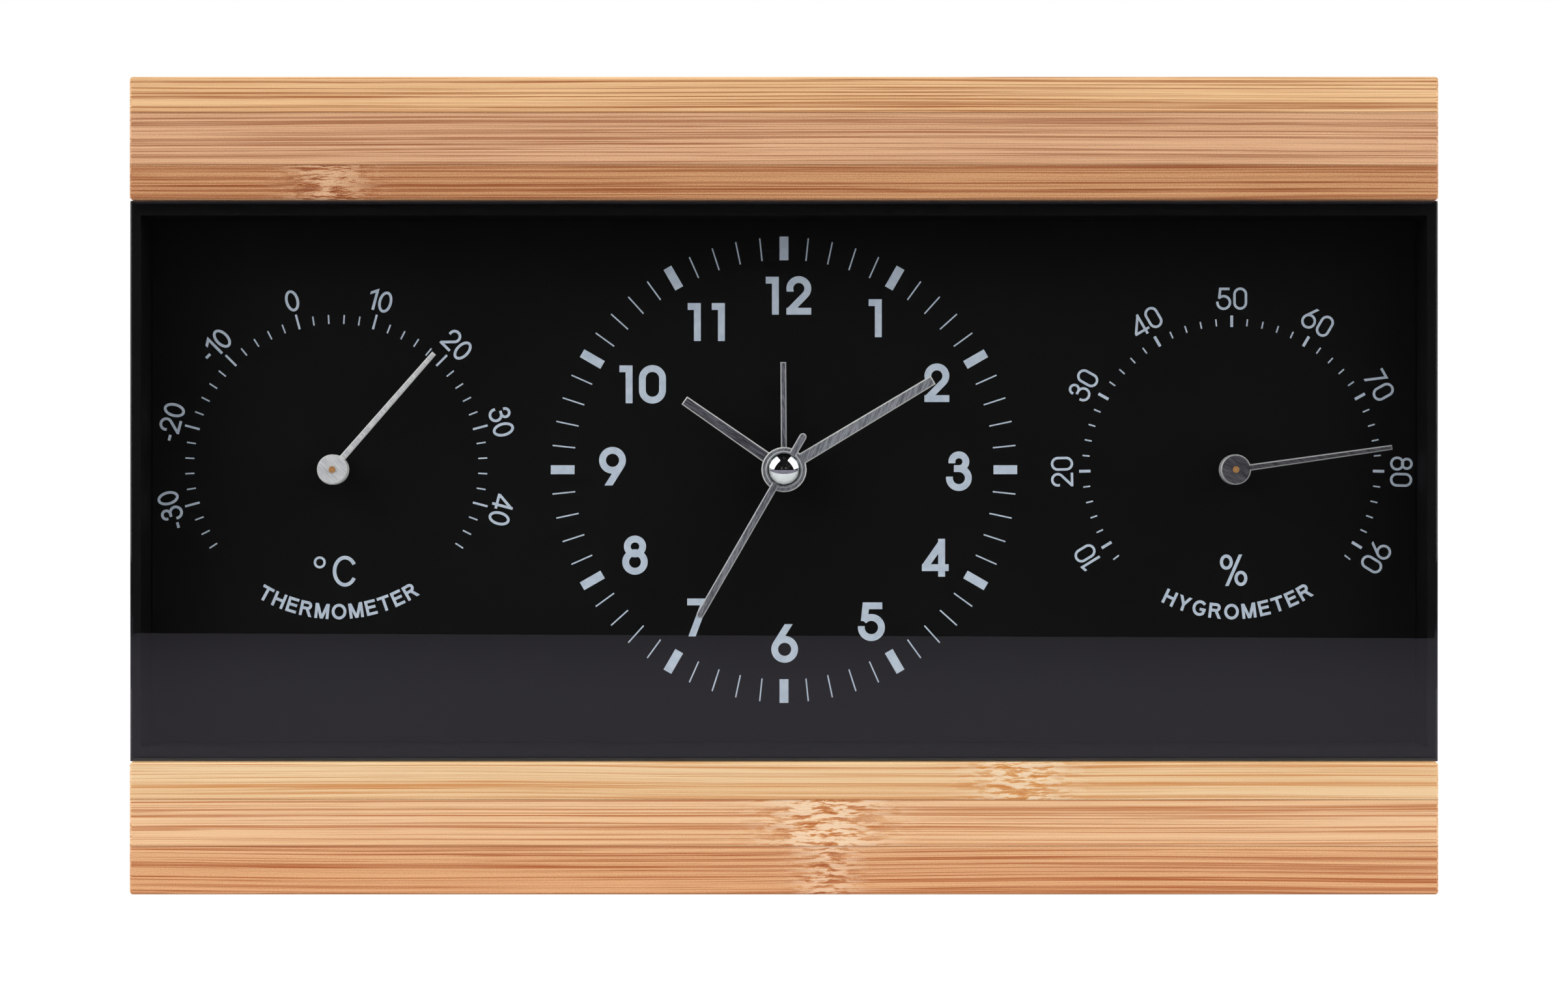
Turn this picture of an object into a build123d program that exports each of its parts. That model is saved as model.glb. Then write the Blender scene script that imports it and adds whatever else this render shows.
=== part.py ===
"""A table clock with a thermometer and a hygrometer, held between two bamboo rails.

Lengths are in millimetres. +Z is up, the front looks towards -Y, and the origin lies under
the middle of the base. Names that end in _y are depths, from the front (low) to the back.
Bearings of wheels are in degrees anticlockwise from +X, seen from the front. Hands are
turned in degrees clockwise from twelve.
"""

import math
import os

from build123d import *

# Whole clock
clock_width = 200.0
clock_depth = 50.0
bottom_rail_height = 20.2
housing_height = 86.0
top_rail_height = 18.8
rail_edge_ease = 0.3

# Fits
running_gap = 0.05
press_gap = 0.02
slip_gap = 0.15
end_gap = 0.3

# Glass, housing, dial and rear cover
lens_thickness = 2.0
lens_bevel = 0.6
side_wall = 1.5
level_wall = 2.3
housing_edge_ease = 0.5
dial_recess = 10.0
dial_thickness = 0.8
dial_rise = 1.8
dial_seat_width = 2.5
dial_seat_thickness = 1.5
cover_thickness = 2.0
cover_lap = 1.2
cover_boss_radius = 3.0
cover_boss_inset = 2.8
vent_length = 30.0
vent_width = 2.0
vent_pitch = 5.0
vent_count = 7

# Screws
rail_screw_radius = 1.4
rail_screw_length = 12.0
rail_screw_reach = 60.0
cover_screw_radius = 1.1
cover_screw_length = 9.0
case_screw_radius = 0.8
case_screw_grip = 3.0
pan_head_radius_share = 2.0
pan_head_height_share = 1.2
drive_width_share = 0.3
drive_length_share = 1.3
drive_depth_share = 0.6

# Gauges on either side of the clock
gauge_inset = 28.7
gauge_boss_radius = 1.8
gauge_boss_rise = 0.5
gauge_plate_radius = 14.0
gauge_plate_thickness = 1.5
gauge_post_radius = 1.0
gauge_post_pin_radius = 0.6
gauge_post_reach = 10.5
gauge_post_bearings = (30.0, 150.0, 270.0)
gauge_bridge_radius = 12.0
gauge_bridge_thickness = 1.2
gauge_arbor_radius = 0.5
gauge_collar_radius = 1.2
gauge_disc_radius = 2.35
gauge_disc_thickness = 3.0
gauge_disc_gap = 1.5
gauge_pin_rise = 0.2
pointer_thickness = 0.4
pointer_width = 1.0
pointer_tip_width = 0.75
coil_strip_width = 4.0
coil_strip_thickness = 0.3
coil_gap = 1.0
coil_anchor_radius = 0.9
bimetal_half_turns = 6
bimetal_pitch = 1.7
humidity_half_turns = 8
humidity_pitch = 1.25
thermometer_pointer_length = 23.9
thermometer_rest_angle = 41.2
hygrometer_pointer_length = 24.4
hygrometer_rest_angle = 81.9

# Hands
hand_thickness = 0.3
hand_bevel = 0.18
hand_gap = 0.9
first_hand_gap = 2.0
hub_radius = 3.5
hour_length = 18.8
hour_angle = 304.8
minute_length = 26.9
minute_angle = 59.0
broad_hand_width = 1.8
broad_hand_tip_width = 1.5
second_length = 26.4
second_tail = 6.4
second_angle = 210.0
second_hand_width = 1.15
second_hub_radius = 2.9
alarm_length = 16.7
alarm_angle = 359.6
alarm_hand_width = 0.9
cap_radius = 2.5
cap_height = 2.2
cap_socket_depth = 0.8

# Nested arbor and pipes of the movement, from the inside out
second_arbor_radius = 0.5
pipe_wall = 0.55
hour_pipe_wall = 0.65
alarm_pipe_wall = 0.65
boss_wall = 0.65
boss_rise = 0.3

# Case of the movement
case_wall = 1.5
case_corner = 1.5
case_rise = 28.0
trough_wall = 1.2
trough_drop = 10.2
screw_post_radius = 1.8
screw_post_inset = 2.3
front_bearing_radius = 1.6
shaft_pivot_radius = 0.6
shaft_pivot_length = 1.0

# Wheels and plates: each level lies behind the one before
wheel_thickness = 0.8
level_gap = 0.4
plate_thickness = 1.2
pivot_radius = 0.4
pivot_length = 1.0
setting_shaft_radius = 1.0
motion_post_radius = 0.8
third_reach = 9.0
intermediate_reach = 9.0
rotor_reach = 7.0
motion_reach = 9.6
time_shaft_reach = 9.6
alarm_shaft_reach = 12.0
addendum_share = 0.9
dedendum_share = 1.2
tooth_root_share = 0.36
tooth_tip_share = 0.08
rotor_teeth = 6
intermediate_teeth = 36
intermediate_pinion_teeth = 6
seconds_teeth = 30
seconds_pinion_teeth = 6
third_teeth = 45
third_pinion_teeth = 6
centre_teeth = 48
cannon_teeth = 8
motion_teeth = 24
motion_pinion_teeth = 6
hour_teeth = 24
time_pinion_teeth = 8
alarm_teeth = 32
alarm_pinion_teeth = 8
third_bearing = 90.0
intermediate_bearing = 15.0
rotor_bearing = 60.0
motion_bearing = 215.0
time_shaft_bearing = 180.0
alarm_shaft_bearing = -27.3
pillar_radius = 1.2
pillar_pin_radius = 0.7
pillar_margin = 1.3
pillar_reach_shares = (1.2, 2.0, 2.33)
pillar_bearings = (185.0, 2.0, 105.0)

# Motor, circuit and sounder
magnet_radius = 3.0
magnet_length = 2.0
stator_gap = 0.6
stator_thickness = 1.2
stator_rim = 1.9
stator_leg_width = 2.4
stator_spread = 7.6
coil_rise = 12.6
core_width = 2.0
bobbin_wall = 0.6
bobbin_flange_radius = 3.2
board_width = 40.0
board_height = 27.0
board_thickness = 1.0
board_post_height = 2.0
board_inset = 1.5
crystal_radius = 1.0
crystal_length = 6.0
crystal_drop = 6.0
buzzer_radius = 7.0
buzzer_height = 6.5
buzzer_inset = 9.5
buzzer_drop = 12.5
sound_hole_radius = 0.8
sound_hole_reach_share = 0.5
sound_hole_count = 4

# Battery and its door
battery_length = 50.5
battery_radius = 7.25
battery_nub_length = 1.0
battery_nub_radius = 2.75
contact_depth = 1.25
contact_thickness = 0.3
contact_width = 7.0
contact_span = 10.0
door_thickness = 1.8
door_mouth_gap = 0.3
door_pin_radius = 0.5
door_pin_length = 0.7
door_groove_width = 0.8
door_groove_depth = 0.4
door_groove_length = 12.0
door_groove_pitch = 2.2
door_grooves = 3
finger_notch_radius = 4.0
finger_notch_depth = 1.0

# Knobs and switch at the back
knob_radius = 4.5
knob_height = 5.0
knob_gap = 0.5
knob_socket_depth = 3.5
knob_grip_radius = 0.7
knob_grips = 12
switch_x = 14.0
switch_drop = 9.0
switch_travel = 3.0
switch_width = 3.0
switch_height = 4.0
switch_rise = 1.5
switch_foot_margin = 1.5
switch_foot_thickness = 0.8

# Sides that stand for a circle on small hidden posts, on bores, and on hubs and rims
post_sides = 6
bore_sides = 12
rim_sides = 24
coil_steps = 8

# Cuts run this far past the faces they open
overrun = 0.5

# Depths of the shell, from the glass back
front_y = -clock_depth / 2
lens_back_y = front_y + lens_thickness
dial_front_y = lens_back_y + dial_recess
dial_back_y = dial_front_y + dial_thickness

# Depths of the wheel levels; each name gives the level's front
case_inner_y = dial_back_y + case_wall
level_pitch = wheel_thickness + level_gap
alarm_y = case_inner_y + end_gap
hour_y = alarm_y + level_pitch
minute_y = hour_y + level_pitch
middle_plate_y = minute_y + level_pitch
middle_plate_back_y = middle_plate_y + plate_thickness
centre_y = middle_plate_back_y + level_gap
third_y = centre_y + level_pitch
seconds_y = third_y + level_pitch
intermediate_y = seconds_y + level_pitch
magnet_y = intermediate_y + level_pitch
magnet_back_y = magnet_y + magnet_length
bridge_y = magnet_back_y + level_gap
bridge_back_y = bridge_y + plate_thickness

# Depths of the battery, the case's back and the rear cover
bay_front_y = middle_plate_y + trough_wall
battery_y = bay_front_y + end_gap + battery_radius
case_back_wall_y = battery_y + battery_radius + end_gap
case_back_y = case_back_wall_y + door_thickness
housing_back_y = case_back_y + cover_thickness

# Heights
housing_low_z = bottom_rail_height
housing_high_z = housing_low_z + housing_height
housing_middle_z = housing_low_z + housing_height / 2
inner_low_z = housing_low_z + level_wall
inner_high_z = housing_high_z - level_wall
inner_half_width = clock_width / 2 - side_wall
dial_z = housing_middle_z + dial_rise

# Heights and half width inside the movement
bay_height = 2 * (battery_radius + end_gap)
bay_high_z = dial_z - trough_drop - trough_wall
bay_low_z = bay_high_z - bay_height
battery_z = bay_low_z + bay_height / 2
case_low_z = bay_low_z - case_wall
case_high_z = dial_z + case_rise
case_inner_half = battery_length / 2 + contact_depth
case_half = case_inner_half + case_wall
chamber_low_z = bay_high_z + trough_wall
chamber_high_z = case_high_z - case_wall

# Radii of the nested pipes
minute_bore = second_arbor_radius + running_gap
minute_pipe_radius = minute_bore + pipe_wall
hour_bore = minute_pipe_radius + running_gap
hour_pipe_radius = hour_bore + hour_pipe_wall
alarm_bore = hour_pipe_radius + running_gap
alarm_pipe_radius = alarm_bore + alarm_pipe_wall
boss_bore = alarm_pipe_radius + running_gap
boss_radius = boss_bore + boss_wall

# Depths of the hands' fronts
alarm_hand_y = dial_front_y - first_hand_gap - hand_thickness
hour_hand_y = alarm_hand_y - hand_gap - hand_thickness
minute_hand_y = hour_hand_y - hand_gap - hand_thickness
second_hand_y = minute_hand_y - hand_gap - hand_thickness

# Centres, as (x, z)
clock_centre = (0, dial_z)
thermometer_centre = (-(clock_width / 2 - side_wall - gauge_inset), dial_z)
hygrometer_centre = (clock_width / 2 - side_wall - gauge_inset, dial_z)


def polar(centre, reach, bearing):
    """Place at a reach and a bearing from a centre, as (x, z)."""
    angle = math.radians(bearing)
    return (centre[0] + reach * math.cos(angle), centre[1] + reach * math.sin(angle))


def front_plane(y, centre=(0, 0), turn=0):
    """Plane across the clock at y that looks forward, turned clockwise about its centre."""
    lean = math.radians(turn)
    return Plane(
        origin=(centre[0], y, centre[1]),
        x_dir=(math.cos(lean), 0, -math.sin(lean)),
        z_dir=(0, -1, 0),
    )


def rear_plane(y, centre):
    """Plane across the clock at y that looks back."""
    return Plane(origin=(centre[0], y, centre[1]), x_dir=(-1, 0, 0), z_dir=(0, 1, 0))


def disc(front, back, radius, centre, bore=0, mode=Mode.ADD, sides=0):
    """Round piece between two depths, or one with flat sides whose corners reach the radius."""
    with BuildSketch(front_plane(back, centre)) as profile:
        if sides:
            RegularPolygon(radius, sides)
        else:
            Circle(radius)
        if bore:
            RegularPolygon(bore, bore_sides, major_radius=False, mode=Mode.SUBTRACT)
    extrude(profile.sketch, amount=back - front, mode=mode)


def bore_through(front, back, radius, centre):
    """Bearing hole right through a wall; its flats lie at the radius."""
    with BuildSketch(front_plane(back + overrun, centre)) as profile:
        RegularPolygon(radius, bore_sides, major_radius=False)
    extrude(profile.sketch, amount=back - front + 2 * overrun, mode=Mode.SUBTRACT)


def slab(front, back, low, high, corner=0, mode=Mode.ADD):
    """Block between two depths, from its low (x, z) corner to its high one."""
    middle = ((low[0] + high[0]) / 2, (low[1] + high[1]) / 2)
    with BuildSketch(front_plane(back, middle)) as profile:
        Rectangle(high[0] - low[0], high[1] - low[1])
        if corner:
            chamfer(profile.vertices(), length=corner)
    extrude(profile.sketch, amount=back - front, mode=mode)


def tooth_corners(teeth, module, turn):
    """Corners of a straight-flanked gear that has one tooth at the bearing turn."""
    pitch_radius = module * teeth / 2
    tip_radius = pitch_radius + addendum_share * module
    root_radius = pitch_radius - dedendum_share * module
    tooth_shape = (
        (root_radius, -tooth_root_share),
        (tip_radius, -tooth_tip_share),
        (tip_radius, tooth_tip_share),
        (root_radius, tooth_root_share),
    )
    corners = []
    for tooth in range(teeth):
        for radius, share in tooth_shape:
            corners.append(polar((0, 0), radius, turn + (tooth + share) * 360 / teeth))
    return corners


def gear(front, back, teeth, module, centre, turn, bore=0):
    """Toothed disc or ring between two depths."""
    with BuildSketch(front_plane(back, centre)) as profile:
        with BuildLine():
            Polyline(*tooth_corners(teeth, module, turn), close=True)
        make_face()
        if bore:
            RegularPolygon(bore, bore_sides, major_radius=False, mode=Mode.SUBTRACT)
    extrude(profile.sketch, amount=back - front)


def meshed_turn(bearing, teeth, partner_teeth, partner_turn):
    """Turn that fits a gear's gap to its partner's tooth, when it lies at that bearing."""
    partner_steps = (bearing - partner_turn) * partner_teeth / 360
    return bearing + 180 + (180 + 360 * partner_steps) / teeth


def screw(seat, radius, length):
    """Pan-head screw: the head stands on the seat plane and the shank goes in behind it."""
    head_radius = radius * pan_head_radius_share
    head_height = radius * pan_head_height_share
    drive_depth = head_height * drive_depth_share
    with BuildSketch(seat) as head:
        RegularPolygon(head_radius, bore_sides)
    extrude(head.sketch, amount=head_height)
    with BuildSketch(seat) as shank:
        RegularPolygon(radius, post_sides)
    extrude(shank.sketch, amount=-length)
    with BuildSketch(seat.offset(head_height - drive_depth)) as drive:
        Rectangle(head_radius * drive_length_share, head_radius * drive_width_share)
        Rectangle(head_radius * drive_width_share, head_radius * drive_length_share)
    extrude(drive.sketch, amount=drive_depth + overrun, mode=Mode.SUBTRACT)


def hand_outline(plane, length, root_width, tip_width, hub, bore, tail=0, rounded=False):
    """Outline of a hand that points up its plane, with a hub and an optional tail."""
    with BuildSketch(plane) as outline:
        with BuildLine():
            Polyline(
                (-root_width / 2, 0),
                (root_width / 2, 0),
                (tip_width / 2, length),
                (-tip_width / 2, length),
                close=True,
            )
        make_face()
        if rounded:
            with Locations((0, length)):
                RegularPolygon(tip_width / 2, bore_sides)
        if tail:
            with Locations((0, -tail / 2)):
                Rectangle(root_width, tail)
            with Locations((0, -tail)):
                RegularPolygon(root_width / 2, bore_sides)
        RegularPolygon(hub, rim_sides)
        RegularPolygon(bore, bore_sides, major_radius=False, mode=Mode.SUBTRACT)
    return outline.sketch


def bevel_front(piece, size):
    """Bevel the outer edge of a flat piece's front face."""
    front_face = piece.faces().sort_by(Axis.Y)[0]
    chamfer(front_face.outer_wire().edges(), length=size)


# Modules of the meshing pairs, and the wheels' centres as (x, z)
centre_module = 2 * third_reach / (third_pinion_teeth + centre_teeth)
third_module = 2 * third_reach / (seconds_pinion_teeth + third_teeth)
seconds_module = 2 * intermediate_reach / (intermediate_pinion_teeth + seconds_teeth)
rotor_module = 2 * rotor_reach / (rotor_teeth + intermediate_teeth)
minute_module = 2 * motion_reach / (cannon_teeth + motion_teeth)
hour_module = 2 * motion_reach / (motion_pinion_teeth + hour_teeth)
alarm_module = 2 * alarm_shaft_reach / (alarm_teeth + alarm_pinion_teeth)
third_centre = polar(clock_centre, third_reach, third_bearing)
intermediate_centre = polar(clock_centre, intermediate_reach, intermediate_bearing)
rotor_centre = polar(intermediate_centre, rotor_reach, rotor_bearing)
motion_centre = polar(clock_centre, motion_reach, motion_bearing)
time_shaft_centre = polar(motion_centre, time_shaft_reach, time_shaft_bearing)
alarm_shaft_centre = polar(clock_centre, alarm_shaft_reach, alarm_shaft_bearing)
pillar_centres = [
    polar(clock_centre, share * third_reach, bearing)
    for share, bearing in zip(pillar_reach_shares, pillar_bearings)
]

# Places of the screws
rail_screw_y = (case_inner_y + case_back_wall_y) / 2
rail_screw_places = [(-rail_screw_reach, rail_screw_y), (rail_screw_reach, rail_screw_y)]
cover_screw_places = [
    (side * (inner_half_width - cover_boss_inset), z)
    for side in (-1, 1)
    for z in (inner_low_z + cover_boss_inset, inner_high_z - cover_boss_inset)
]
case_screw_places = [
    (side * (case_inner_half - screw_post_inset), z)
    for side in (-1, 1)
    for z in (chamber_low_z + screw_post_inset, chamber_high_z - screw_post_inset)
]

os.makedirs("parts", exist_ok=True)

# The bamboo rails, with pilot holes for the screws that come through the housing
rail_pilot_depth = rail_screw_length - level_wall + end_gap
with BuildPart() as bottom_rail:
    with BuildSketch(Plane.XY):
        Rectangle(clock_width, clock_depth)
    extrude(amount=bottom_rail_height)
    chamfer(bottom_rail.edges(), length=rail_edge_ease)
    with BuildSketch(Plane.XY.offset(bottom_rail_height)):
        with Locations(*rail_screw_places):
            RegularPolygon(rail_screw_radius + press_gap, post_sides)
    extrude(amount=-rail_pilot_depth, mode=Mode.SUBTRACT)

with BuildPart() as top_rail:
    with BuildSketch(Plane.XY.offset(housing_high_z)):
        Rectangle(clock_width, clock_depth)
    extrude(amount=top_rail_height)
    chamfer(top_rail.edges(), length=rail_edge_ease)
    with BuildSketch(Plane.XY.offset(housing_high_z)):
        with Locations(*rail_screw_places):
            RegularPolygon(rail_screw_radius + press_gap, post_sides)
    extrude(amount=rail_pilot_depth, mode=Mode.SUBTRACT)

with BuildPart() as rail_screws:
    for x, y in rail_screw_places:
        screw(Plane(origin=(x, y, inner_low_z)), rail_screw_radius, rail_screw_length)
        top_seat = Plane(origin=(x, y, inner_high_z), x_dir=(1, 0, 0), z_dir=(0, 0, -1))
        screw(top_seat, rail_screw_radius, rail_screw_length)

# The housing is a frame with a seat for the dial and a boss for each cover screw
with BuildPart() as housing:
    with BuildSketch(front_plane(housing_back_y, (0, housing_middle_z))):
        Rectangle(clock_width, housing_height)
        Rectangle(2 * inner_half_width, inner_high_z - inner_low_z, mode=Mode.SUBTRACT)
    extrude(amount=housing_back_y - lens_back_y)
    with BuildSketch(front_plane(dial_back_y + dial_seat_thickness, (0, housing_middle_z))):
        Rectangle(2 * inner_half_width, inner_high_z - inner_low_z)
        Rectangle(
            2 * (inner_half_width - dial_seat_width),
            inner_high_z - inner_low_z - 2 * dial_seat_width,
            mode=Mode.SUBTRACT,
        )
    extrude(amount=dial_seat_thickness)
    rear_rim = housing.faces().sort_by(Axis.Y)[-1].outer_wire()
    chamfer(rear_rim.edges().filter_by(Axis.Z), length=housing_edge_ease)
    for place in cover_screw_places:
        disc(dial_back_y, case_back_y, cover_boss_radius, place, sides=bore_sides)
    for place in cover_screw_places:
        pilot_front_y = housing_back_y - cover_screw_length - end_gap
        disc(
            pilot_front_y,
            case_back_y + overrun,
            cover_screw_radius + press_gap,
            place,
            mode=Mode.SUBTRACT,
            sides=post_sides,
        )
    for low_z in (housing_low_z, inner_high_z):
        with BuildSketch(Plane.XY.offset(low_z - overrun)):
            with Locations(*rail_screw_places):
                RegularPolygon(rail_screw_radius + slip_gap, post_sides)
        extrude(amount=level_wall + 2 * overrun, mode=Mode.SUBTRACT)

with BuildPart() as front_lens:
    with BuildSketch(front_plane(lens_back_y, (0, housing_middle_z))):
        Rectangle(clock_width, housing_height - 2 * slip_gap)
    extrude(amount=lens_thickness)
    bevel_front(front_lens, lens_bevel)

with BuildPart() as dial_plate:
    slab(
        dial_front_y,
        dial_back_y,
        (-inner_half_width + slip_gap, inner_low_z + slip_gap),
        (inner_half_width - slip_gap, inner_high_z - slip_gap),
    )
    for centre, radius in (
        (clock_centre, boss_radius),
        (thermometer_centre, gauge_boss_radius),
        (hygrometer_centre, gauge_boss_radius),
    ):
        bore_through(dial_front_y, dial_back_y, radius + slip_gap, centre)

# The rear cover holds the movement in and lets air to both gauges
with BuildPart() as rear_cover:
    slab(
        case_back_y,
        housing_back_y,
        (-inner_half_width + slip_gap, inner_low_z + slip_gap),
        (inner_half_width - slip_gap, inner_high_z - slip_gap),
    )
    slab(
        case_back_y - overrun,
        housing_back_y + overrun,
        (-case_half + cover_lap, case_low_z + cover_lap),
        (case_half - cover_lap, case_high_z - cover_lap),
        corner=case_corner,
        mode=Mode.SUBTRACT,
    )
    for centre in (thermometer_centre, hygrometer_centre):
        with BuildSketch(rear_plane(case_back_y, centre)) as vents:
            with GridLocations(vent_length, vent_pitch, 1, vent_count):
                Rectangle(vent_length, vent_width)
        extrude(vents.sketch, amount=cover_thickness, mode=Mode.SUBTRACT)
    for place in cover_screw_places:
        bore_through(case_back_y, housing_back_y, cover_screw_radius + slip_gap, place)

with BuildPart() as rear_cover_screws:
    for place in cover_screw_places:
        screw(rear_plane(housing_back_y, place), cover_screw_radius, cover_screw_length)

# Gauges: a frame behind the dial carries a coil, which turns the arbor and its pointer
gauge_plate_back_y = dial_back_y + gauge_plate_thickness
coil_y = gauge_plate_back_y + coil_gap
coil_back_y = coil_y + coil_strip_width
gauge_bridge_y = coil_back_y + coil_gap
gauge_bridge_back_y = gauge_bridge_y + gauge_bridge_thickness
gauge_boss_y = dial_front_y - gauge_boss_rise
gauge_disc_back_y = gauge_boss_y - gauge_disc_gap
gauge_disc_y = gauge_disc_back_y - gauge_disc_thickness
coil_inner_radius = gauge_collar_radius + running_gap + coil_strip_thickness / 2


def gauge_frame(centre, half_turns, pitch):
    """Plate with the arbor's bearing, the bridge posts and the post that holds the coil's end."""
    disc(dial_back_y, gauge_plate_back_y, gauge_plate_radius, centre, sides=rim_sides)
    disc(gauge_boss_y, dial_back_y, gauge_boss_radius, centre, sides=bore_sides)
    for bearing in gauge_post_bearings:
        place = polar(centre, gauge_post_reach, bearing)
        disc(gauge_plate_back_y, gauge_bridge_y, gauge_post_radius, place, sides=post_sides)
        disc(
            gauge_bridge_y,
            gauge_bridge_back_y,
            gauge_post_pin_radius,
            place,
            sides=post_sides,
        )
    coil_reach = coil_inner_radius + half_turns * pitch / 2
    anchor = (centre[0] + coil_reach, centre[1] + coil_anchor_radius + press_gap)
    disc(gauge_plate_back_y, coil_back_y, coil_anchor_radius, anchor, sides=post_sides)
    bore_through(
        gauge_boss_y, gauge_plate_back_y, gauge_arbor_radius + running_gap, centre
    )


def gauge_bridge(centre):
    """Round bridge on the frame's posts, with the arbor's rear bearing."""
    disc(
        gauge_bridge_y,
        gauge_bridge_back_y,
        gauge_bridge_radius,
        centre,
        gauge_arbor_radius + running_gap,
        sides=rim_sides,
    )
    for bearing in gauge_post_bearings:
        disc(
            gauge_bridge_y - overrun,
            gauge_bridge_back_y + overrun,
            gauge_post_pin_radius + press_gap,
            polar(centre, gauge_post_reach, bearing),
            mode=Mode.SUBTRACT,
            sides=post_sides,
        )


def gauge_arbor(centre):
    """Pin through the frame, with a collar where the coil takes hold of it."""
    front = gauge_disc_y - gauge_pin_rise
    disc(front, gauge_bridge_back_y, gauge_arbor_radius, centre)
    disc(
        coil_y - end_gap,
        coil_back_y + end_gap,
        gauge_collar_radius,
        centre,
        sides=bore_sides,
    )


def gauge_coil(centre, half_turns, pitch):
    """Flat spiral strip, drawn as half turns whose centres lie half a pitch apart."""
    edges = []
    for side in (-1, 1):
        edge = []
        for step in range(half_turns * coil_steps + 1):
            half_turn = min(step // coil_steps, half_turns - 1)
            radius = coil_inner_radius + half_turn * pitch / 2
            radius += side * coil_strip_thickness / 2
            middle = (pitch / 2 * (half_turn % 2), 0)
            edge.append(polar(middle, radius, 180 * step / coil_steps))
        edges.append(edge)
    with BuildSketch(front_plane(coil_back_y, centre)) as strip:
        with BuildLine():
            Polyline(*edges[0], *reversed(edges[1]), close=True)
        make_face()
    extrude(strip.sketch, amount=coil_strip_width)


def gauge_pointer(piece, centre, length, turn):
    """Flat pointer on the front of a thick round hub."""
    outline = hand_outline(
        front_plane(gauge_disc_y + pointer_thickness, centre, turn),
        length,
        pointer_width,
        pointer_tip_width,
        gauge_disc_radius,
        gauge_arbor_radius + press_gap,
    )
    extrude(outline, amount=pointer_thickness)
    bevel_front(piece, hand_bevel)
    with BuildSketch(front_plane(gauge_disc_back_y, centre, turn)) as hub:
        RegularPolygon(gauge_disc_radius, rim_sides)
        RegularPolygon(
            gauge_arbor_radius + press_gap,
            bore_sides,
            major_radius=False,
            mode=Mode.SUBTRACT,
        )
    extrude(hub.sketch, amount=gauge_disc_thickness - pointer_thickness)


with BuildPart() as thermometer_frame:
    gauge_frame(thermometer_centre, bimetal_half_turns, bimetal_pitch)
with BuildPart() as thermometer_bridge:
    gauge_bridge(thermometer_centre)
with BuildPart() as thermometer_arbor:
    gauge_arbor(thermometer_centre)
with BuildPart() as bimetal_coil:
    gauge_coil(thermometer_centre, bimetal_half_turns, bimetal_pitch)
with BuildPart() as thermometer_pointer:
    gauge_pointer(
        thermometer_pointer,
        thermometer_centre,
        thermometer_pointer_length,
        thermometer_rest_angle,
    )

with BuildPart() as hygrometer_frame:
    gauge_frame(hygrometer_centre, humidity_half_turns, humidity_pitch)
with BuildPart() as hygrometer_bridge:
    gauge_bridge(hygrometer_centre)
with BuildPart() as hygrometer_arbor:
    gauge_arbor(hygrometer_centre)
with BuildPart() as humidity_coil:
    gauge_coil(hygrometer_centre, humidity_half_turns, humidity_pitch)
with BuildPart() as hygrometer_pointer:
    gauge_pointer(
        hygrometer_pointer,
        hygrometer_centre,
        hygrometer_pointer_length,
        hygrometer_rest_angle,
    )


# Hands, each on its own arbor or pipe, and the cap over the second hand's hub
def clock_hand(piece, front, turn, length, widths, hub, bore, tail=0, rounded=False):
    """Hand between its front and the depth one thickness behind it, bevelled in front."""
    outline = hand_outline(
        front_plane(front + hand_thickness, clock_centre, turn),
        length,
        *widths,
        hub,
        bore + press_gap,
        tail,
        rounded,
    )
    extrude(outline, amount=hand_thickness)
    bevel_front(piece, hand_bevel)


broad_widths = (broad_hand_width, broad_hand_tip_width)
with BuildPart() as hour_hand:
    clock_hand(
        hour_hand,
        hour_hand_y,
        hour_angle,
        hour_length,
        broad_widths,
        hub_radius,
        hour_pipe_radius,
    )
with BuildPart() as minute_hand:
    clock_hand(
        minute_hand,
        minute_hand_y,
        minute_angle,
        minute_length,
        broad_widths,
        hub_radius,
        minute_pipe_radius,
    )
with BuildPart() as alarm_hand:
    clock_hand(
        alarm_hand,
        alarm_hand_y,
        alarm_angle,
        alarm_length,
        (alarm_hand_width, alarm_hand_width),
        hub_radius,
        alarm_pipe_radius,
    )
with BuildPart() as second_hand:
    clock_hand(
        second_hand,
        second_hand_y,
        second_angle,
        second_length - second_hand_width / 2,
        (second_hand_width, second_hand_width),
        second_hub_radius,
        second_arbor_radius,
        tail=second_tail - second_hand_width / 2,
        rounded=True,
    )

with BuildPart() as centre_cap:
    dome_radius = (cap_radius**2 + cap_height**2) / (2 * cap_height)
    dome_start = math.degrees(math.asin((dome_radius - cap_height) / dome_radius))
    cap_bore = second_arbor_radius + press_gap
    cap_base = Plane(
        origin=(0, second_hand_y, dial_z), x_dir=(1, 0, 0), z_dir=(0, 0, -1)
    )
    with BuildSketch(cap_base):
        with BuildLine():
            CenterArc((0, cap_height - dome_radius), dome_radius, dome_start, 90 - dome_start)
            Polyline(
                (0, cap_height),
                (0, cap_socket_depth),
                (cap_bore, cap_socket_depth),
                (cap_bore, 0),
                (cap_radius, 0),
            )
        make_face()
    revolve(axis=Axis((0, second_hand_y, dial_z), (0, -1, 0)))

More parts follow.
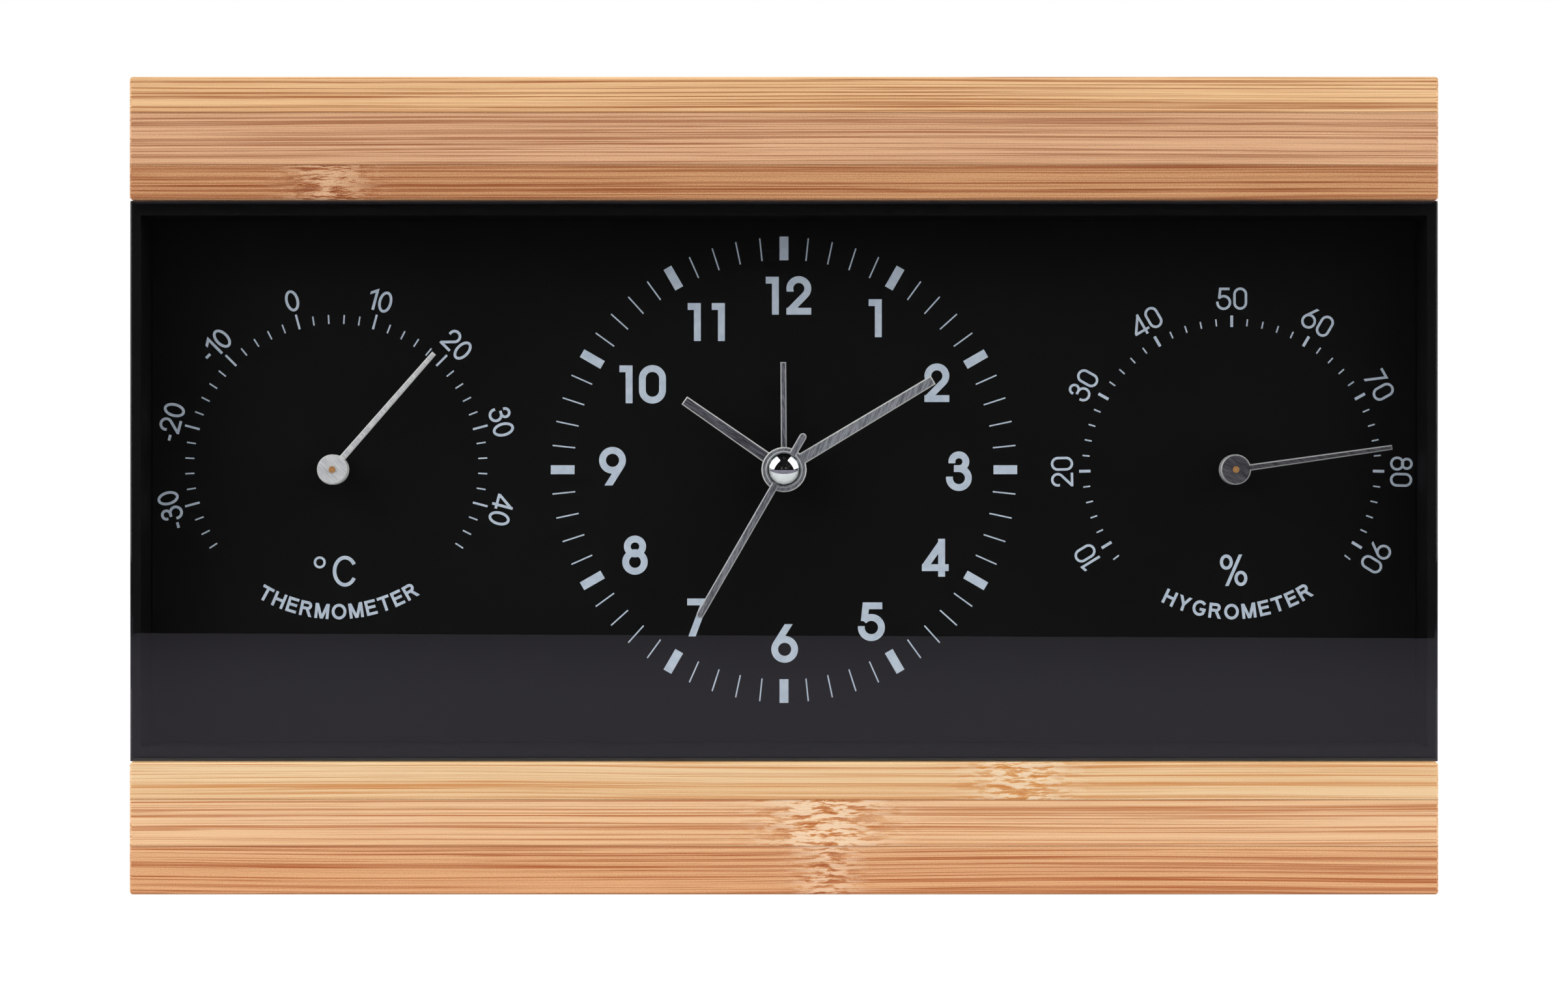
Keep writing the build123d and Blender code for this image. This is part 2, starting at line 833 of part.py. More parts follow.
# Wheels that carry the hands. Each turn puts one tooth at a bearing that suits its mesh
seconds_turn = intermediate_bearing
seconds_pinion_turn = third_bearing
minute_turn = motion_bearing
third_turn = meshed_turn(
    third_bearing, third_teeth, seconds_pinion_teeth, seconds_pinion_turn
)
third_pinion_turn = third_bearing + 180
centre_turn = meshed_turn(
    third_bearing + 180, centre_teeth, third_pinion_teeth, third_pinion_turn
)
intermediate_pinion_turn = meshed_turn(
    intermediate_bearing, intermediate_pinion_teeth, seconds_teeth, seconds_turn
)
intermediate_turn = rotor_bearing
rotor_turn = meshed_turn(rotor_bearing, rotor_teeth, intermediate_teeth, intermediate_turn)
motion_turn = meshed_turn(motion_bearing, motion_teeth, cannon_teeth, minute_turn)
time_pinion_turn = meshed_turn(
    time_shaft_bearing, time_pinion_teeth, motion_teeth, motion_turn
)
motion_pinion_turn = motion_bearing + 180
hour_turn = meshed_turn(
    motion_bearing + 180, hour_teeth, motion_pinion_teeth, motion_pinion_turn
)
alarm_turn = alarm_shaft_bearing
alarm_pinion_turn = meshed_turn(
    alarm_shaft_bearing, alarm_pinion_teeth, alarm_teeth, alarm_turn
)

with BuildPart() as seconds_wheel:
    gear(
        seconds_y,
        seconds_y + wheel_thickness,
        seconds_teeth,
        seconds_module,
        clock_centre,
        seconds_turn,
    )
    gear(
        third_y,
        seconds_y,
        seconds_pinion_teeth,
        third_module,
        clock_centre,
        seconds_pinion_turn,
    )
    arbor_front_y = second_hand_y - cap_socket_depth + end_gap
    disc(arbor_front_y, bridge_y + pivot_length, second_arbor_radius, clock_centre)

with BuildPart() as minute_pipe:
    gear(
        minute_y,
        minute_y + wheel_thickness,
        cannon_teeth,
        minute_module,
        clock_centre,
        minute_turn,
        minute_bore,
    )
    disc(
        minute_hand_y,
        centre_y + wheel_thickness,
        minute_pipe_radius,
        clock_centre,
        minute_bore,
    )

with BuildPart() as hour_wheel:
    gear(
        hour_y,
        hour_y + wheel_thickness,
        hour_teeth,
        hour_module,
        clock_centre,
        hour_turn,
        hour_bore,
    )
    disc(hour_hand_y, hour_y + wheel_thickness, hour_pipe_radius, clock_centre, hour_bore)

with BuildPart() as alarm_wheel:
    gear(
        alarm_y,
        alarm_y + wheel_thickness,
        alarm_teeth,
        alarm_module,
        clock_centre,
        alarm_turn,
        alarm_bore,
    )
    disc(alarm_hand_y, alarm_y + wheel_thickness, alarm_pipe_radius, clock_centre, alarm_bore)

# The going train between the motor and the minute pipe, which it drives by friction
front_pivot_y = middle_plate_back_y - pivot_length
rear_pivot_y = bridge_y + pivot_length
with BuildPart() as centre_wheel:
    gear(
        centre_y,
        centre_y + wheel_thickness,
        centre_teeth,
        centre_module,
        clock_centre,
        centre_turn,
    )
    disc(
        centre_y,
        centre_y + wheel_thickness,
        minute_pipe_radius + running_gap,
        clock_centre,
        mode=Mode.SUBTRACT,
    )

with BuildPart() as third_wheel:
    gear(
        third_y,
        third_y + wheel_thickness,
        third_teeth,
        third_module,
        third_centre,
        third_turn,
    )
    gear(
        centre_y,
        third_y,
        third_pinion_teeth,
        centre_module,
        third_centre,
        third_pinion_turn,
    )
    disc(front_pivot_y, rear_pivot_y, pivot_radius, third_centre)

with BuildPart() as intermediate_wheel:
    gear(
        intermediate_y,
        intermediate_y + wheel_thickness,
        intermediate_teeth,
        rotor_module,
        intermediate_centre,
        intermediate_turn,
    )
    gear(
        seconds_y,
        intermediate_y,
        intermediate_pinion_teeth,
        seconds_module,
        intermediate_centre,
        intermediate_pinion_turn,
    )
    disc(front_pivot_y, rear_pivot_y, pivot_radius, intermediate_centre)

with BuildPart() as rotor_pinion:
    gear(
        intermediate_y,
        magnet_y,
        rotor_teeth,
        rotor_module,
        rotor_centre,
        rotor_turn,
    )
    disc(front_pivot_y, rear_pivot_y, pivot_radius, rotor_centre)

with BuildPart() as rotor_magnet:
    disc(
        magnet_y,
        magnet_back_y,
        magnet_radius,
        rotor_centre,
        pivot_radius + press_gap,
        sides=rim_sides,
    )

# Setting wheels, and the shafts that the knobs at the back turn
with BuildPart() as motion_wheel:
    motion_bore = motion_post_radius + running_gap
    gear(
        minute_y,
        minute_y + wheel_thickness,
        motion_teeth,
        minute_module,
        motion_centre,
        motion_turn,
        motion_bore,
    )
    gear(
        hour_y,
        minute_y,
        motion_pinion_teeth,
        hour_module,
        motion_centre,
        motion_pinion_turn,
        motion_bore,
    )

knob_y = case_back_y + knob_gap
shaft_back_y = knob_y + knob_socket_depth
front_bearing_back_y = minute_y - end_gap
with BuildPart() as time_set_shaft:
    gear(
        minute_y,
        minute_y + wheel_thickness,
        time_pinion_teeth,
        minute_module,
        time_shaft_centre,
        time_pinion_turn,
    )
    disc(minute_y, shaft_back_y, setting_shaft_radius, time_shaft_centre)
    disc(
        front_bearing_back_y - shaft_pivot_length,
        minute_y,
        shaft_pivot_radius,
        time_shaft_centre,
        sides=bore_sides,
    )

with BuildPart() as alarm_set_shaft:
    gear(
        alarm_y,
        alarm_y + wheel_thickness,
        alarm_pinion_teeth,
        alarm_module,
        alarm_shaft_centre,
        alarm_pinion_turn,
    )
    disc(alarm_y, shaft_back_y, setting_shaft_radius, alarm_shaft_centre)
    disc(
        case_inner_y - shaft_pivot_length,
        alarm_y,
        shaft_pivot_radius,
        alarm_shaft_centre,
        sides=bore_sides,
    )


def knob(centre):
    """Knob with grip hollows round its rim and a blind socket for its shaft."""
    with BuildSketch(front_plane(knob_y + knob_height, centre)) as rim:
        RegularPolygon(knob_radius, rim_sides)
        with PolarLocations(knob_radius, knob_grips):
            RegularPolygon(knob_grip_radius, post_sides, mode=Mode.SUBTRACT)
    extrude(rim.sketch, amount=knob_height)
    with BuildSketch(front_plane(shaft_back_y + slip_gap, centre)) as socket:
        RegularPolygon(setting_shaft_radius + press_gap, bore_sides, major_radius=False)
    extrude(socket.sketch, amount=knob_socket_depth + slip_gap, mode=Mode.SUBTRACT)


with BuildPart() as time_set_knob:
    knob(time_shaft_centre)
with BuildPart() as alarm_set_knob:
    knob(alarm_shaft_centre)

# The movement's case: a front shell with the threaded boss's tube, and a rear shell
case_low = (-case_half, case_low_z)
case_high = (case_half, case_high_z)
with BuildPart() as movement_front_case:
    slab(dial_back_y, middle_plate_y, case_low, case_high, corner=case_corner)
    slab(
        case_inner_y,
        middle_plate_y + overrun,
        (-case_inner_half, bay_low_z),
        (case_inner_half, chamber_high_z),
        mode=Mode.SUBTRACT,
    )
    boss_y = dial_front_y - boss_rise
    disc(boss_y, dial_back_y, boss_radius, clock_centre, sides=bore_sides)
    bore_through(boss_y, case_inner_y, boss_bore, clock_centre)
    for place in case_screw_places:
        disc(case_inner_y, middle_plate_y, screw_post_radius, place, sides=post_sides)
        disc(
            middle_plate_y - case_screw_grip,
            middle_plate_y + overrun,
            case_screw_radius + press_gap,
            place,
            mode=Mode.SUBTRACT,
            sides=post_sides,
        )
    disc(
        case_inner_y,
        front_bearing_back_y,
        front_bearing_radius,
        time_shaft_centre,
        sides=bore_sides,
    )
    for back, centre in (
        (front_bearing_back_y, time_shaft_centre),
        (case_inner_y, alarm_shaft_centre),
    ):
        with BuildSketch(front_plane(back, centre)) as pivot_hole:
            RegularPolygon(shaft_pivot_radius + running_gap, bore_sides, major_radius=False)
        extrude(
            pivot_hole.sketch, amount=shaft_pivot_length + slip_gap, mode=Mode.SUBTRACT
        )

case_screw_head_height = case_screw_radius * pan_head_height_share
case_screw_seat_y = case_back_y - case_screw_head_height
mouth_half = battery_length / 2 + door_mouth_gap
door_low_z = bay_low_z + slip_gap
door_high_z = bay_high_z - slip_gap
door_half = mouth_half - slip_gap
door_pin_y = case_back_wall_y + door_thickness / 2
door_pin_z = door_low_z + door_thickness / 2
door_pin_half = mouth_half + door_pin_length
buzzer_centre = (-case_inner_half + buzzer_inset, chamber_high_z - buzzer_drop)
switch_z = chamber_high_z - switch_drop
with BuildPart() as movement_rear_case:
    slab(middle_plate_y, case_back_y, case_low, case_high, corner=case_corner)
    slab(
        middle_plate_y - overrun,
        case_back_wall_y,
        (-case_inner_half, chamber_low_z),
        (case_inner_half, chamber_high_z),
        mode=Mode.SUBTRACT,
    )
    slab(
        bay_front_y,
        case_back_wall_y,
        (-case_inner_half, bay_low_z),
        (case_inner_half, bay_high_z),
        mode=Mode.SUBTRACT,
    )
    slab(
        case_back_wall_y - overrun,
        case_back_y + overrun,
        (-mouth_half, bay_low_z),
        (mouth_half, bay_high_z),
        mode=Mode.SUBTRACT,
    )
    for place in case_screw_places:
        disc(
            middle_plate_back_y,
            case_back_wall_y,
            screw_post_radius,
            place,
            sides=post_sides,
        )
    for place in case_screw_places:
        disc(
            middle_plate_back_y - overrun,
            case_back_y + overrun,
            case_screw_radius + slip_gap,
            place,
            mode=Mode.SUBTRACT,
            sides=post_sides,
        )
        disc(
            case_screw_seat_y,
            case_back_y + overrun,
            case_screw_radius * pan_head_radius_share + slip_gap,
            place,
            mode=Mode.SUBTRACT,
            sides=bore_sides,
        )
    for centre in (time_shaft_centre, alarm_shaft_centre):
        bore_through(
            case_back_wall_y, case_back_y, setting_shaft_radius + running_gap, centre
        )
    with BuildSketch(rear_plane(case_back_wall_y - overrun, buzzer_centre)) as sound_holes:
        RegularPolygon(sound_hole_radius, post_sides)
        with PolarLocations(buzzer_radius * sound_hole_reach_share, sound_hole_count):
            RegularPolygon(sound_hole_radius, post_sides)
    extrude(
        sound_holes.sketch, amount=door_thickness + 2 * overrun, mode=Mode.SUBTRACT
    )
    slab(
        case_back_wall_y - overrun,
        case_back_y + overrun,
        (switch_x - switch_width / 2 - slip_gap, switch_z - switch_height / 2 - slip_gap),
        (
            switch_x + switch_width / 2 + switch_travel + slip_gap,
            switch_z + switch_height / 2 + slip_gap,
        ),
        mode=Mode.SUBTRACT,
    )
    disc(
        case_back_y - finger_notch_depth,
        case_back_y + overrun,
        finger_notch_radius,
        (0, bay_high_z),
        mode=Mode.SUBTRACT,
        sides=rim_sides,
    )
    with BuildSketch(Plane.YZ.offset(-door_pin_half)) as pin_holes:
        with Locations((door_pin_y, door_pin_z)):
            RegularPolygon(door_pin_radius + running_gap, bore_sides, major_radius=False)
    extrude(pin_holes.sketch, amount=2 * door_pin_half, mode=Mode.SUBTRACT)

with BuildPart() as movement_screws:
    case_screw_length = case_screw_seat_y - middle_plate_y + case_screw_grip - slip_gap
    for place in case_screw_places:
        screw(rear_plane(case_screw_seat_y, place), case_screw_radius, case_screw_length)

# The middle plate lies between the two shells and carries the bridge on pillars
with BuildPart() as middle_plate:
    slab(
        middle_plate_y,
        middle_plate_back_y,
        (-case_inner_half + slip_gap, chamber_low_z + slip_gap),
        (case_inner_half - slip_gap, chamber_high_z - slip_gap),
    )
    disc(hour_y, middle_plate_y, motion_post_radius, motion_centre)
    for place in pillar_centres:
        disc(middle_plate_back_y, bridge_y, pillar_radius, place, sides=post_sides)
        disc(bridge_y, bridge_back_y, pillar_pin_radius, place, sides=post_sides)
    plate_holes = [(clock_centre, minute_pipe_radius + running_gap)]
    for centre in (third_centre, intermediate_centre, rotor_centre):
        plate_holes.append((centre, pivot_radius + running_gap))
    for centre in (time_shaft_centre, alarm_shaft_centre):
        plate_holes.append((centre, setting_shaft_radius + running_gap))
    for centre in case_screw_places:
        plate_holes.append((centre, case_screw_radius + slip_gap))
    for centre, radius in plate_holes:
        bore_through(middle_plate_y, middle_plate_back_y, radius, centre)

board_y = bridge_back_y + board_post_height
with BuildPart() as train_bridge:
    with BuildSketch(front_plane(bridge_back_y)) as bridge_outline:
        with Locations(*pillar_centres, third_centre, intermediate_centre, rotor_centre):
            RegularPolygon(pillar_radius + pillar_margin, bore_sides)
        make_hull()
    extrude(bridge_outline.sketch, amount=plate_thickness)
    for place in pillar_centres:
        disc(bridge_back_y, board_y, pillar_radius, place, sides=post_sides)
    bridge_holes = [(clock_centre, second_arbor_radius + running_gap)]
    for centre in (third_centre, intermediate_centre, rotor_centre):
        bridge_holes.append((centre, pivot_radius + running_gap))
    for centre, radius in bridge_holes:
        bore_through(bridge_y, bridge_back_y, radius, centre)
    for centre in pillar_centres:
        disc(
            bridge_y,
            bridge_back_y,
            pillar_pin_radius + press_gap,
            centre,
            mode=Mode.SUBTRACT,
            sides=post_sides,
        )

# The motor: a stator round the magnet, and a coil on a core between the stator's legs
stator_y = magnet_y + (magnet_length - stator_thickness) / 2
stator_back_y = stator_y + stator_thickness
core_back_y = stator_back_y + stator_thickness
core_y = (stator_back_y + core_back_y) / 2
coil_z = rotor_centre[1] + coil_rise
leg_reach = stator_spread + stator_leg_width / 2
bore_radius = magnet_radius + stator_gap
with BuildPart() as stator:
    slab(
        stator_y,
        stator_back_y,
        (rotor_centre[0] - leg_reach, rotor_centre[1] - stator_leg_width / 2),
        (rotor_centre[0] + leg_reach, rotor_centre[1] + stator_leg_width / 2),
    )
    for side in (-1, 1):
        leg_x = rotor_centre[0] + side * stator_spread
        slab(
            stator_y,
            stator_back_y,
            (leg_x - stator_leg_width / 2, rotor_centre[1]),
            (leg_x + stator_leg_width / 2, coil_z + core_width / 2),
        )
    disc(
        stator_y,
        stator_back_y,
        bore_radius + stator_rim,
        rotor_centre,
        sides=rim_sides,
    )
    disc(
        stator_y,
        stator_back_y,
        bore_radius,
        rotor_centre,
        mode=Mode.SUBTRACT,
        sides=rim_sides,
    )

with BuildPart() as coil_core:
    slab(
        stator_back_y,
        core_back_y,
        (rotor_centre[0] - leg_reach, coil_z - core_width / 2),
        (rotor_centre[0] + leg_reach, coil_z + core_width / 2),
    )

bobbin_half = stator_spread - stator_leg_width / 2 - slip_gap
bobbin_radius = math.hypot(core_width, stator_thickness) / 2 + bobbin_wall
with BuildPart() as coil_bobbin:
    for start, length, radius in (
        (-bobbin_half, 2 * bobbin_half, bobbin_radius),
        (-bobbin_half, bobbin_wall, bobbin_flange_radius),
        (bobbin_half - bobbin_wall, bobbin_wall, bobbin_flange_radius),
    ):
        with BuildSketch(Plane.YZ.offset(rotor_centre[0] + start)) as ring:
            with Locations((core_y, coil_z)):
                RegularPolygon(radius, bore_sides)
                Rectangle(
                    stator_thickness + 2 * press_gap,
                    core_width + 2 * press_gap,
                    mode=Mode.SUBTRACT,
                )
        extrude(ring.sketch, amount=length)

winding_half = bobbin_half - bobbin_wall - press_gap
with BuildPart() as coil_winding:
    with BuildSketch(Plane.YZ.offset(rotor_centre[0] - winding_half)):
        with Locations((core_y, coil_z)):
            RegularPolygon(bobbin_flange_radius - end_gap, bore_sides)
            RegularPolygon(bobbin_radius + press_gap, bore_sides, mode=Mode.SUBTRACT)
    extrude(amount=2 * winding_half)

# Circuit board on the bridge's posts, its crystal, and the sounder on the middle plate
board_back_y = board_y + board_thickness
board_high_z = chamber_high_z - board_inset
with BuildPart() as circuit_board:
    slab(
        board_y,
        board_back_y,
        (-board_width / 2, board_high_z - board_height),
        (board_width / 2, board_high_z),
    )

with BuildPart() as quartz_crystal:
    with BuildSketch(Plane.YZ.offset(-crystal_length)):
        with Locations((board_back_y + crystal_radius + press_gap, board_high_z - crystal_drop)):
            RegularPolygon(crystal_radius, bore_sides)
    extrude(amount=crystal_length)

with BuildPart() as buzzer:
    disc(
        middle_plate_back_y,
        middle_plate_back_y + buzzer_height,
        buzzer_radius,
        buzzer_centre,
        sides=rim_sides,
    )

# Slide switch for the alarm: the foot inside is wider than the slot in the wall
with BuildPart() as alarm_switch:
    foot_back_y = case_back_wall_y - slip_gap
    slab(
        foot_back_y - switch_foot_thickness,
        foot_back_y,
        (
            switch_x - switch_width / 2 - switch_foot_margin,
            switch_z - switch_height / 2 - switch_foot_margin,
        ),
        (
            switch_x + switch_width / 2 + switch_foot_margin,
            switch_z + switch_height / 2 + switch_foot_margin,
        ),
    )
    slab(
        foot_back_y,
        case_back_y + switch_rise,
        (switch_x - switch_width / 2, switch_z - switch_height / 2),
        (switch_x + switch_width / 2, switch_z + switch_height / 2),
    )

# Battery, its two spring contacts and the hinged door of its bay
with BuildPart() as battery:
    with BuildSketch(Plane.YZ.offset(-battery_length / 2)) as can:
        with Locations((battery_y, battery_z)):
            RegularPolygon(battery_radius, rim_sides)
    extrude(can.sketch, amount=battery_length - battery_nub_length)
    with BuildSketch(Plane.YZ.offset(battery_length / 2 - battery_nub_length)) as nub:
        with Locations((battery_y, battery_z)):
            RegularPolygon(battery_nub_radius, bore_sides)
    extrude(nub.sketch, amount=battery_nub_length)


def contact(side):
    """Bowed spring strip between the end wall of the bay and the battery, on one side."""
    half = contact_thickness / 2
    wall_x = case_inner_half - press_gap - half
    apex_x = battery_length / 2 + press_gap + half
    low_y = battery_y - contact_span / 2
    high_y = battery_y + contact_span / 2
    with BuildSketch(Plane.XY.offset(battery_z - contact_width / 2)) as strip:
        with BuildLine():
            for face in (-half, half):
                ThreePointArc(
                    (side * (wall_x + face), low_y),
                    (side * (apex_x + face), battery_y),
                    (side * (wall_x + face), high_y),
                )
            for y in (low_y, high_y):
                Line((side * (wall_x - half), y), (side * (wall_x + half), y))
        make_face()
    extrude(strip.sketch, amount=contact_width)


with BuildPart() as battery_contact_plus:
    contact(1)
with BuildPart() as battery_contact_minus:
    contact(-1)

with BuildPart() as battery_door:
    with BuildSketch(Plane.YZ.offset(-door_half)) as section:
        with Locations((door_pin_y, (door_pin_z + door_high_z) / 2)):
            Rectangle(door_thickness, door_high_z - door_pin_z)
        with Locations((door_pin_y, door_pin_z)):
            RegularPolygon(door_thickness / 2, bore_sides)
    extrude(section.sketch, amount=2 * door_half)
    pin_reach = door_pin_half - slip_gap
    with BuildSketch(Plane.YZ.offset(-pin_reach)) as pins:
        with Locations((door_pin_y, door_pin_z)):
            Circle(door_pin_radius)
    extrude(pins.sketch, amount=2 * pin_reach)
    with BuildSketch(rear_plane(case_back_y - door_groove_depth, (0, battery_z))) as grooves:
        with GridLocations(door_groove_length, door_groove_pitch, 1, door_grooves):
            Rectangle(door_groove_length, door_groove_width)
    extrude(grooves.sketch, amount=door_groove_depth + overrun, mode=Mode.SUBTRACT)

pieces = {
    "bottom_rail": bottom_rail,
    "top_rail": top_rail,
    "rail_screws": rail_screws,
    "housing": housing,
    "front_lens": front_lens,
    "dial_plate": dial_plate,
    "rear_cover": rear_cover,
    "rear_cover_screws": rear_cover_screws,
    "thermometer_frame": thermometer_frame,
    "thermometer_bridge": thermometer_bridge,
    "thermometer_arbor": thermometer_arbor,
    "thermometer_pointer": thermometer_pointer,
    "bimetal_coil": bimetal_coil,
    "hygrometer_frame": hygrometer_frame,
    "hygrometer_bridge": hygrometer_bridge,
    "hygrometer_arbor": hygrometer_arbor,
    "hygrometer_pointer": hygrometer_pointer,
    "humidity_coil": humidity_coil,
    "hour_hand": hour_hand,
    "minute_hand": minute_hand,
    "second_hand": second_hand,
    "alarm_hand": alarm_hand,
    "centre_cap": centre_cap,
    "seconds_wheel": seconds_wheel,
    "minute_pipe": minute_pipe,
    "hour_wheel": hour_wheel,
    "alarm_wheel": alarm_wheel,
    "centre_wheel": centre_wheel,
    "third_wheel": third_wheel,
    "intermediate_wheel": intermediate_wheel,
    "rotor_pinion": rotor_pinion,
    "rotor_magnet": rotor_magnet,
    "motion_wheel": motion_wheel,
    "time_set_shaft": time_set_shaft,
    "time_set_knob": time_set_knob,
    "alarm_set_shaft": alarm_set_shaft,
    "alarm_set_knob": alarm_set_knob,
    "movement_front_case": movement_front_case,
    "movement_rear_case": movement_rear_case,
    "movement_screws": movement_screws,
    "middle_plate": middle_plate,
    "train_bridge": train_bridge,
    "stator": stator,
    "coil_core": coil_core,
    "coil_bobbin": coil_bobbin,
    "coil_winding": coil_winding,
    "circuit_board": circuit_board,
    "quartz_crystal": quartz_crystal,
    "buzzer": buzzer,
    "alarm_switch": alarm_switch,
    "battery": battery,
    "battery_contact_plus": battery_contact_plus,
    "battery_contact_minus": battery_contact_minus,
    "battery_door": battery_door,
}
for name, piece in pieces.items():
    piece.part.label = name
    export_step(piece.part, f"parts/{name}.step")
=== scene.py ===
"""Dresses a bamboo table clock that has a thermometer and a hygrometer beside its dial.

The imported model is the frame. This script gives every node of it a finish, prints the dial,
makes the polished cap over the hands and the glass in front of them, and sets up the floor,
the lamps and the camera. Lengths are in metres, +X is right, +Y goes back and +Z is up.
"""

import logging
import math
from dataclasses import dataclass, field
from enum import Enum
from typing import Iterable, Mapping, Sequence, Union

import bpy
from mathutils import Matrix, Vector


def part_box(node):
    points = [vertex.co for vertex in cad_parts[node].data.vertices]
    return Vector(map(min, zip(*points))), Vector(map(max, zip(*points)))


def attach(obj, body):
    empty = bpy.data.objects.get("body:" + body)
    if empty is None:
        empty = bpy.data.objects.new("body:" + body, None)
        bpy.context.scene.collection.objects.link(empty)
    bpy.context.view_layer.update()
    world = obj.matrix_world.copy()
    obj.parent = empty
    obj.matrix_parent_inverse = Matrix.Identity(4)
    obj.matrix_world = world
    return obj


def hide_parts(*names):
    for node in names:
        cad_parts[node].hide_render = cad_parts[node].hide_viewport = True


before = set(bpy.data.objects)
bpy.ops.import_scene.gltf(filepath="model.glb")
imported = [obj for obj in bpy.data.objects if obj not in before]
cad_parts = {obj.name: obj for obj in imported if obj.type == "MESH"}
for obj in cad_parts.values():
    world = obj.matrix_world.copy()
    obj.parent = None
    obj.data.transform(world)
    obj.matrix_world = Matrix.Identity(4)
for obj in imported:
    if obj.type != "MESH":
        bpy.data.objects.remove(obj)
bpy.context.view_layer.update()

log = logging.getLogger("clock")
Point = tuple[float, float]
Spot = tuple[float, float, float]
Colour = tuple[float, float, float, float]
Loop = tuple[int, ...]
Feed = Union["Wire", float, str, Sequence[float], bpy.types.Material]
MM = 0.001
WHITE: Colour = (1.0, 1.0, 1.0, 1.0)
DOWN: Point = (0.0, -1.0)
UP: Point = (0.0, 1.0)


def shade(code: str) -> Colour:
    """Turn a written colour into the linear one that a shader takes.

    Args:
        code: Six hex digits, red first.

    Returns:
        Linear red, green, blue and an alpha of one.
    """
    parts = []
    for start in (0, 2, 4):
        level = int(code[start:start + 2], 16) / 255
        parts.append(level / 12.92 if level <= 0.04045 else ((level + 0.055) / 1.055) ** 2.4)
    return (parts[0], parts[1], parts[2], 1.0)


class Wire:
    """One output of a node, which can be worked with like a number."""

    def __init__(self, graph: "Graph", socket: bpy.types.NodeSocket) -> None:
        """Keep the output and its graph."""
        self.graph, self.socket = graph, socket

    def __add__(self, other: Feed) -> "Wire":
        """Add."""
        return self.graph.math("ADD", self, other)

    def __sub__(self, other: Feed) -> "Wire":
        """Take the other away."""
        return self.graph.math("SUBTRACT", self, other)

    def __rsub__(self, other: Feed) -> "Wire":
        """Take this away from the other."""
        return self.graph.math("SUBTRACT", other, self)

    def __mul__(self, other: Feed) -> "Wire":
        """Multiply."""
        return self.graph.math("MULTIPLY", self, other)

    def __truediv__(self, other: Feed) -> "Wire":
        """Divide."""
        return self.graph.math("DIVIDE", self, other)

    def __gt__(self, other: Feed) -> "Wire":
        """Give one where this is the greater."""
        return self.graph.math("GREATER_THAN", self, other)

    def __lt__(self, other: Feed) -> "Wire":
        """Give one where this is the lesser."""
        return self.graph.math("LESS_THAN", self, other)

    def __abs__(self) -> "Wire":
        """Drop the sign."""
        return self.graph.math("ABSOLUTE", self)

    def span(self, low: float, high: float, to_low: float = 0.0,
             to_high: float = 1.0) -> "Wire":
        """Map smoothly from one span, low to high, to another, held at the ends."""
        feeds = dict(enumerate((self, low, high, to_low, to_high)))
        return self.graph.out("ShaderNodeMapRange", feeds, interpolation_type="SMOOTHSTEP")

    def parts(self) -> list["Wire"]:
        """Split a vector into its three parts."""
        node = self.graph.add("ShaderNodeSeparateXYZ", {0: self})
        return [Wire(self.graph, socket) for socket in node.outputs]


class Graph:
    """Adds nodes to one tree and joins them."""

    def __init__(self, tree: bpy.types.NodeTree) -> None:
        """Keep the tree that the nodes go into."""
        self.tree = tree

    def feed(self, socket: bpy.types.NodeSocket, value: Feed) -> None:
        """Join an output to an input, or set the input.

        Args:
            socket: The input.
            value: An output, a plain value or a written colour.
        """
        if isinstance(value, Wire):
            self.tree.links.new(value.socket, socket)
        else:
            socket.default_value = shade(value) if isinstance(value, str) else value

    def add(self, kind: str, feeds: Mapping[int | str, Feed] | None = None,
            **settings: object) -> bpy.types.Node:
        """Add a node.

        Args:
            kind: Blender's name for the node type.
            feeds: What goes into its inputs, by number or name.
            **settings: Plain properties to set on it first.

        Returns:
            The new node.
        """
        node = self.tree.nodes.new(kind)
        for name, value in settings.items():
            setattr(node, name, value)
        for key, value in (feeds or {}).items():
            self.feed(node.inputs[key], value)
        return node

    def out(self, kind: str, feeds: Mapping[int | str, Feed] | None = None,
            at: int | str = 0, **settings: object) -> Wire:
        """Add a node as add does, and give its output at a number or name."""
        return Wire(self, self.add(kind, feeds, **settings).outputs[at])

    def given(self) -> dict[str, Wire]:
        """Inputs of the group that this tree makes, by name."""
        entry = self.add("NodeGroupInput")
        return {socket.name: Wire(self, socket) for socket in entry.outputs if socket.name}

    def math(self, operation: str, *values: Feed) -> Wire:
        """Add one arithmetic node."""
        return self.out("ShaderNodeMath", dict(enumerate(values)), operation=operation)

    def blend(self, share: Feed, first: Feed, second: Feed) -> Wire:
        """Mix two colours by the share of the second."""
        return self.out("ShaderNodeMix", {0: share, 6: first, 7: second}, 2, data_type="RGBA")

    def vectors(self, operation: str, first: Feed, second: Feed) -> Wire:
        """Add one arithmetic node for vectors."""
        return self.out("ShaderNodeVectorMath", {0: first, 1: second}, operation=operation)

    def vector(self, x: Feed, y: Feed, z: Feed) -> Wire:
        """Join three values into a vector."""
        return self.out("ShaderNodeCombineXYZ", {0: x, 1: y, 2: z})

    def noise(self, place: Wire, scale: Feed, detail: float = 2.0,
              roughness: float = 0.5) -> Wire:
        """Give a soft random value, with some finer layers of a weight, at each place."""
        return self.out("ShaderNodeTexNoise", {
            "Vector": place, "Scale": scale, "Detail": detail, "Roughness": roughness})


def empty_tree(holder: bpy.types.ID) -> bpy.types.NodeTree:
    """Give a material or a world an empty node tree.

    Args:
        holder: The material or world.

    Returns:
        The tree.
    """
    holder.use_nodes = True
    holder.node_tree.nodes.clear()
    return holder.node_tree


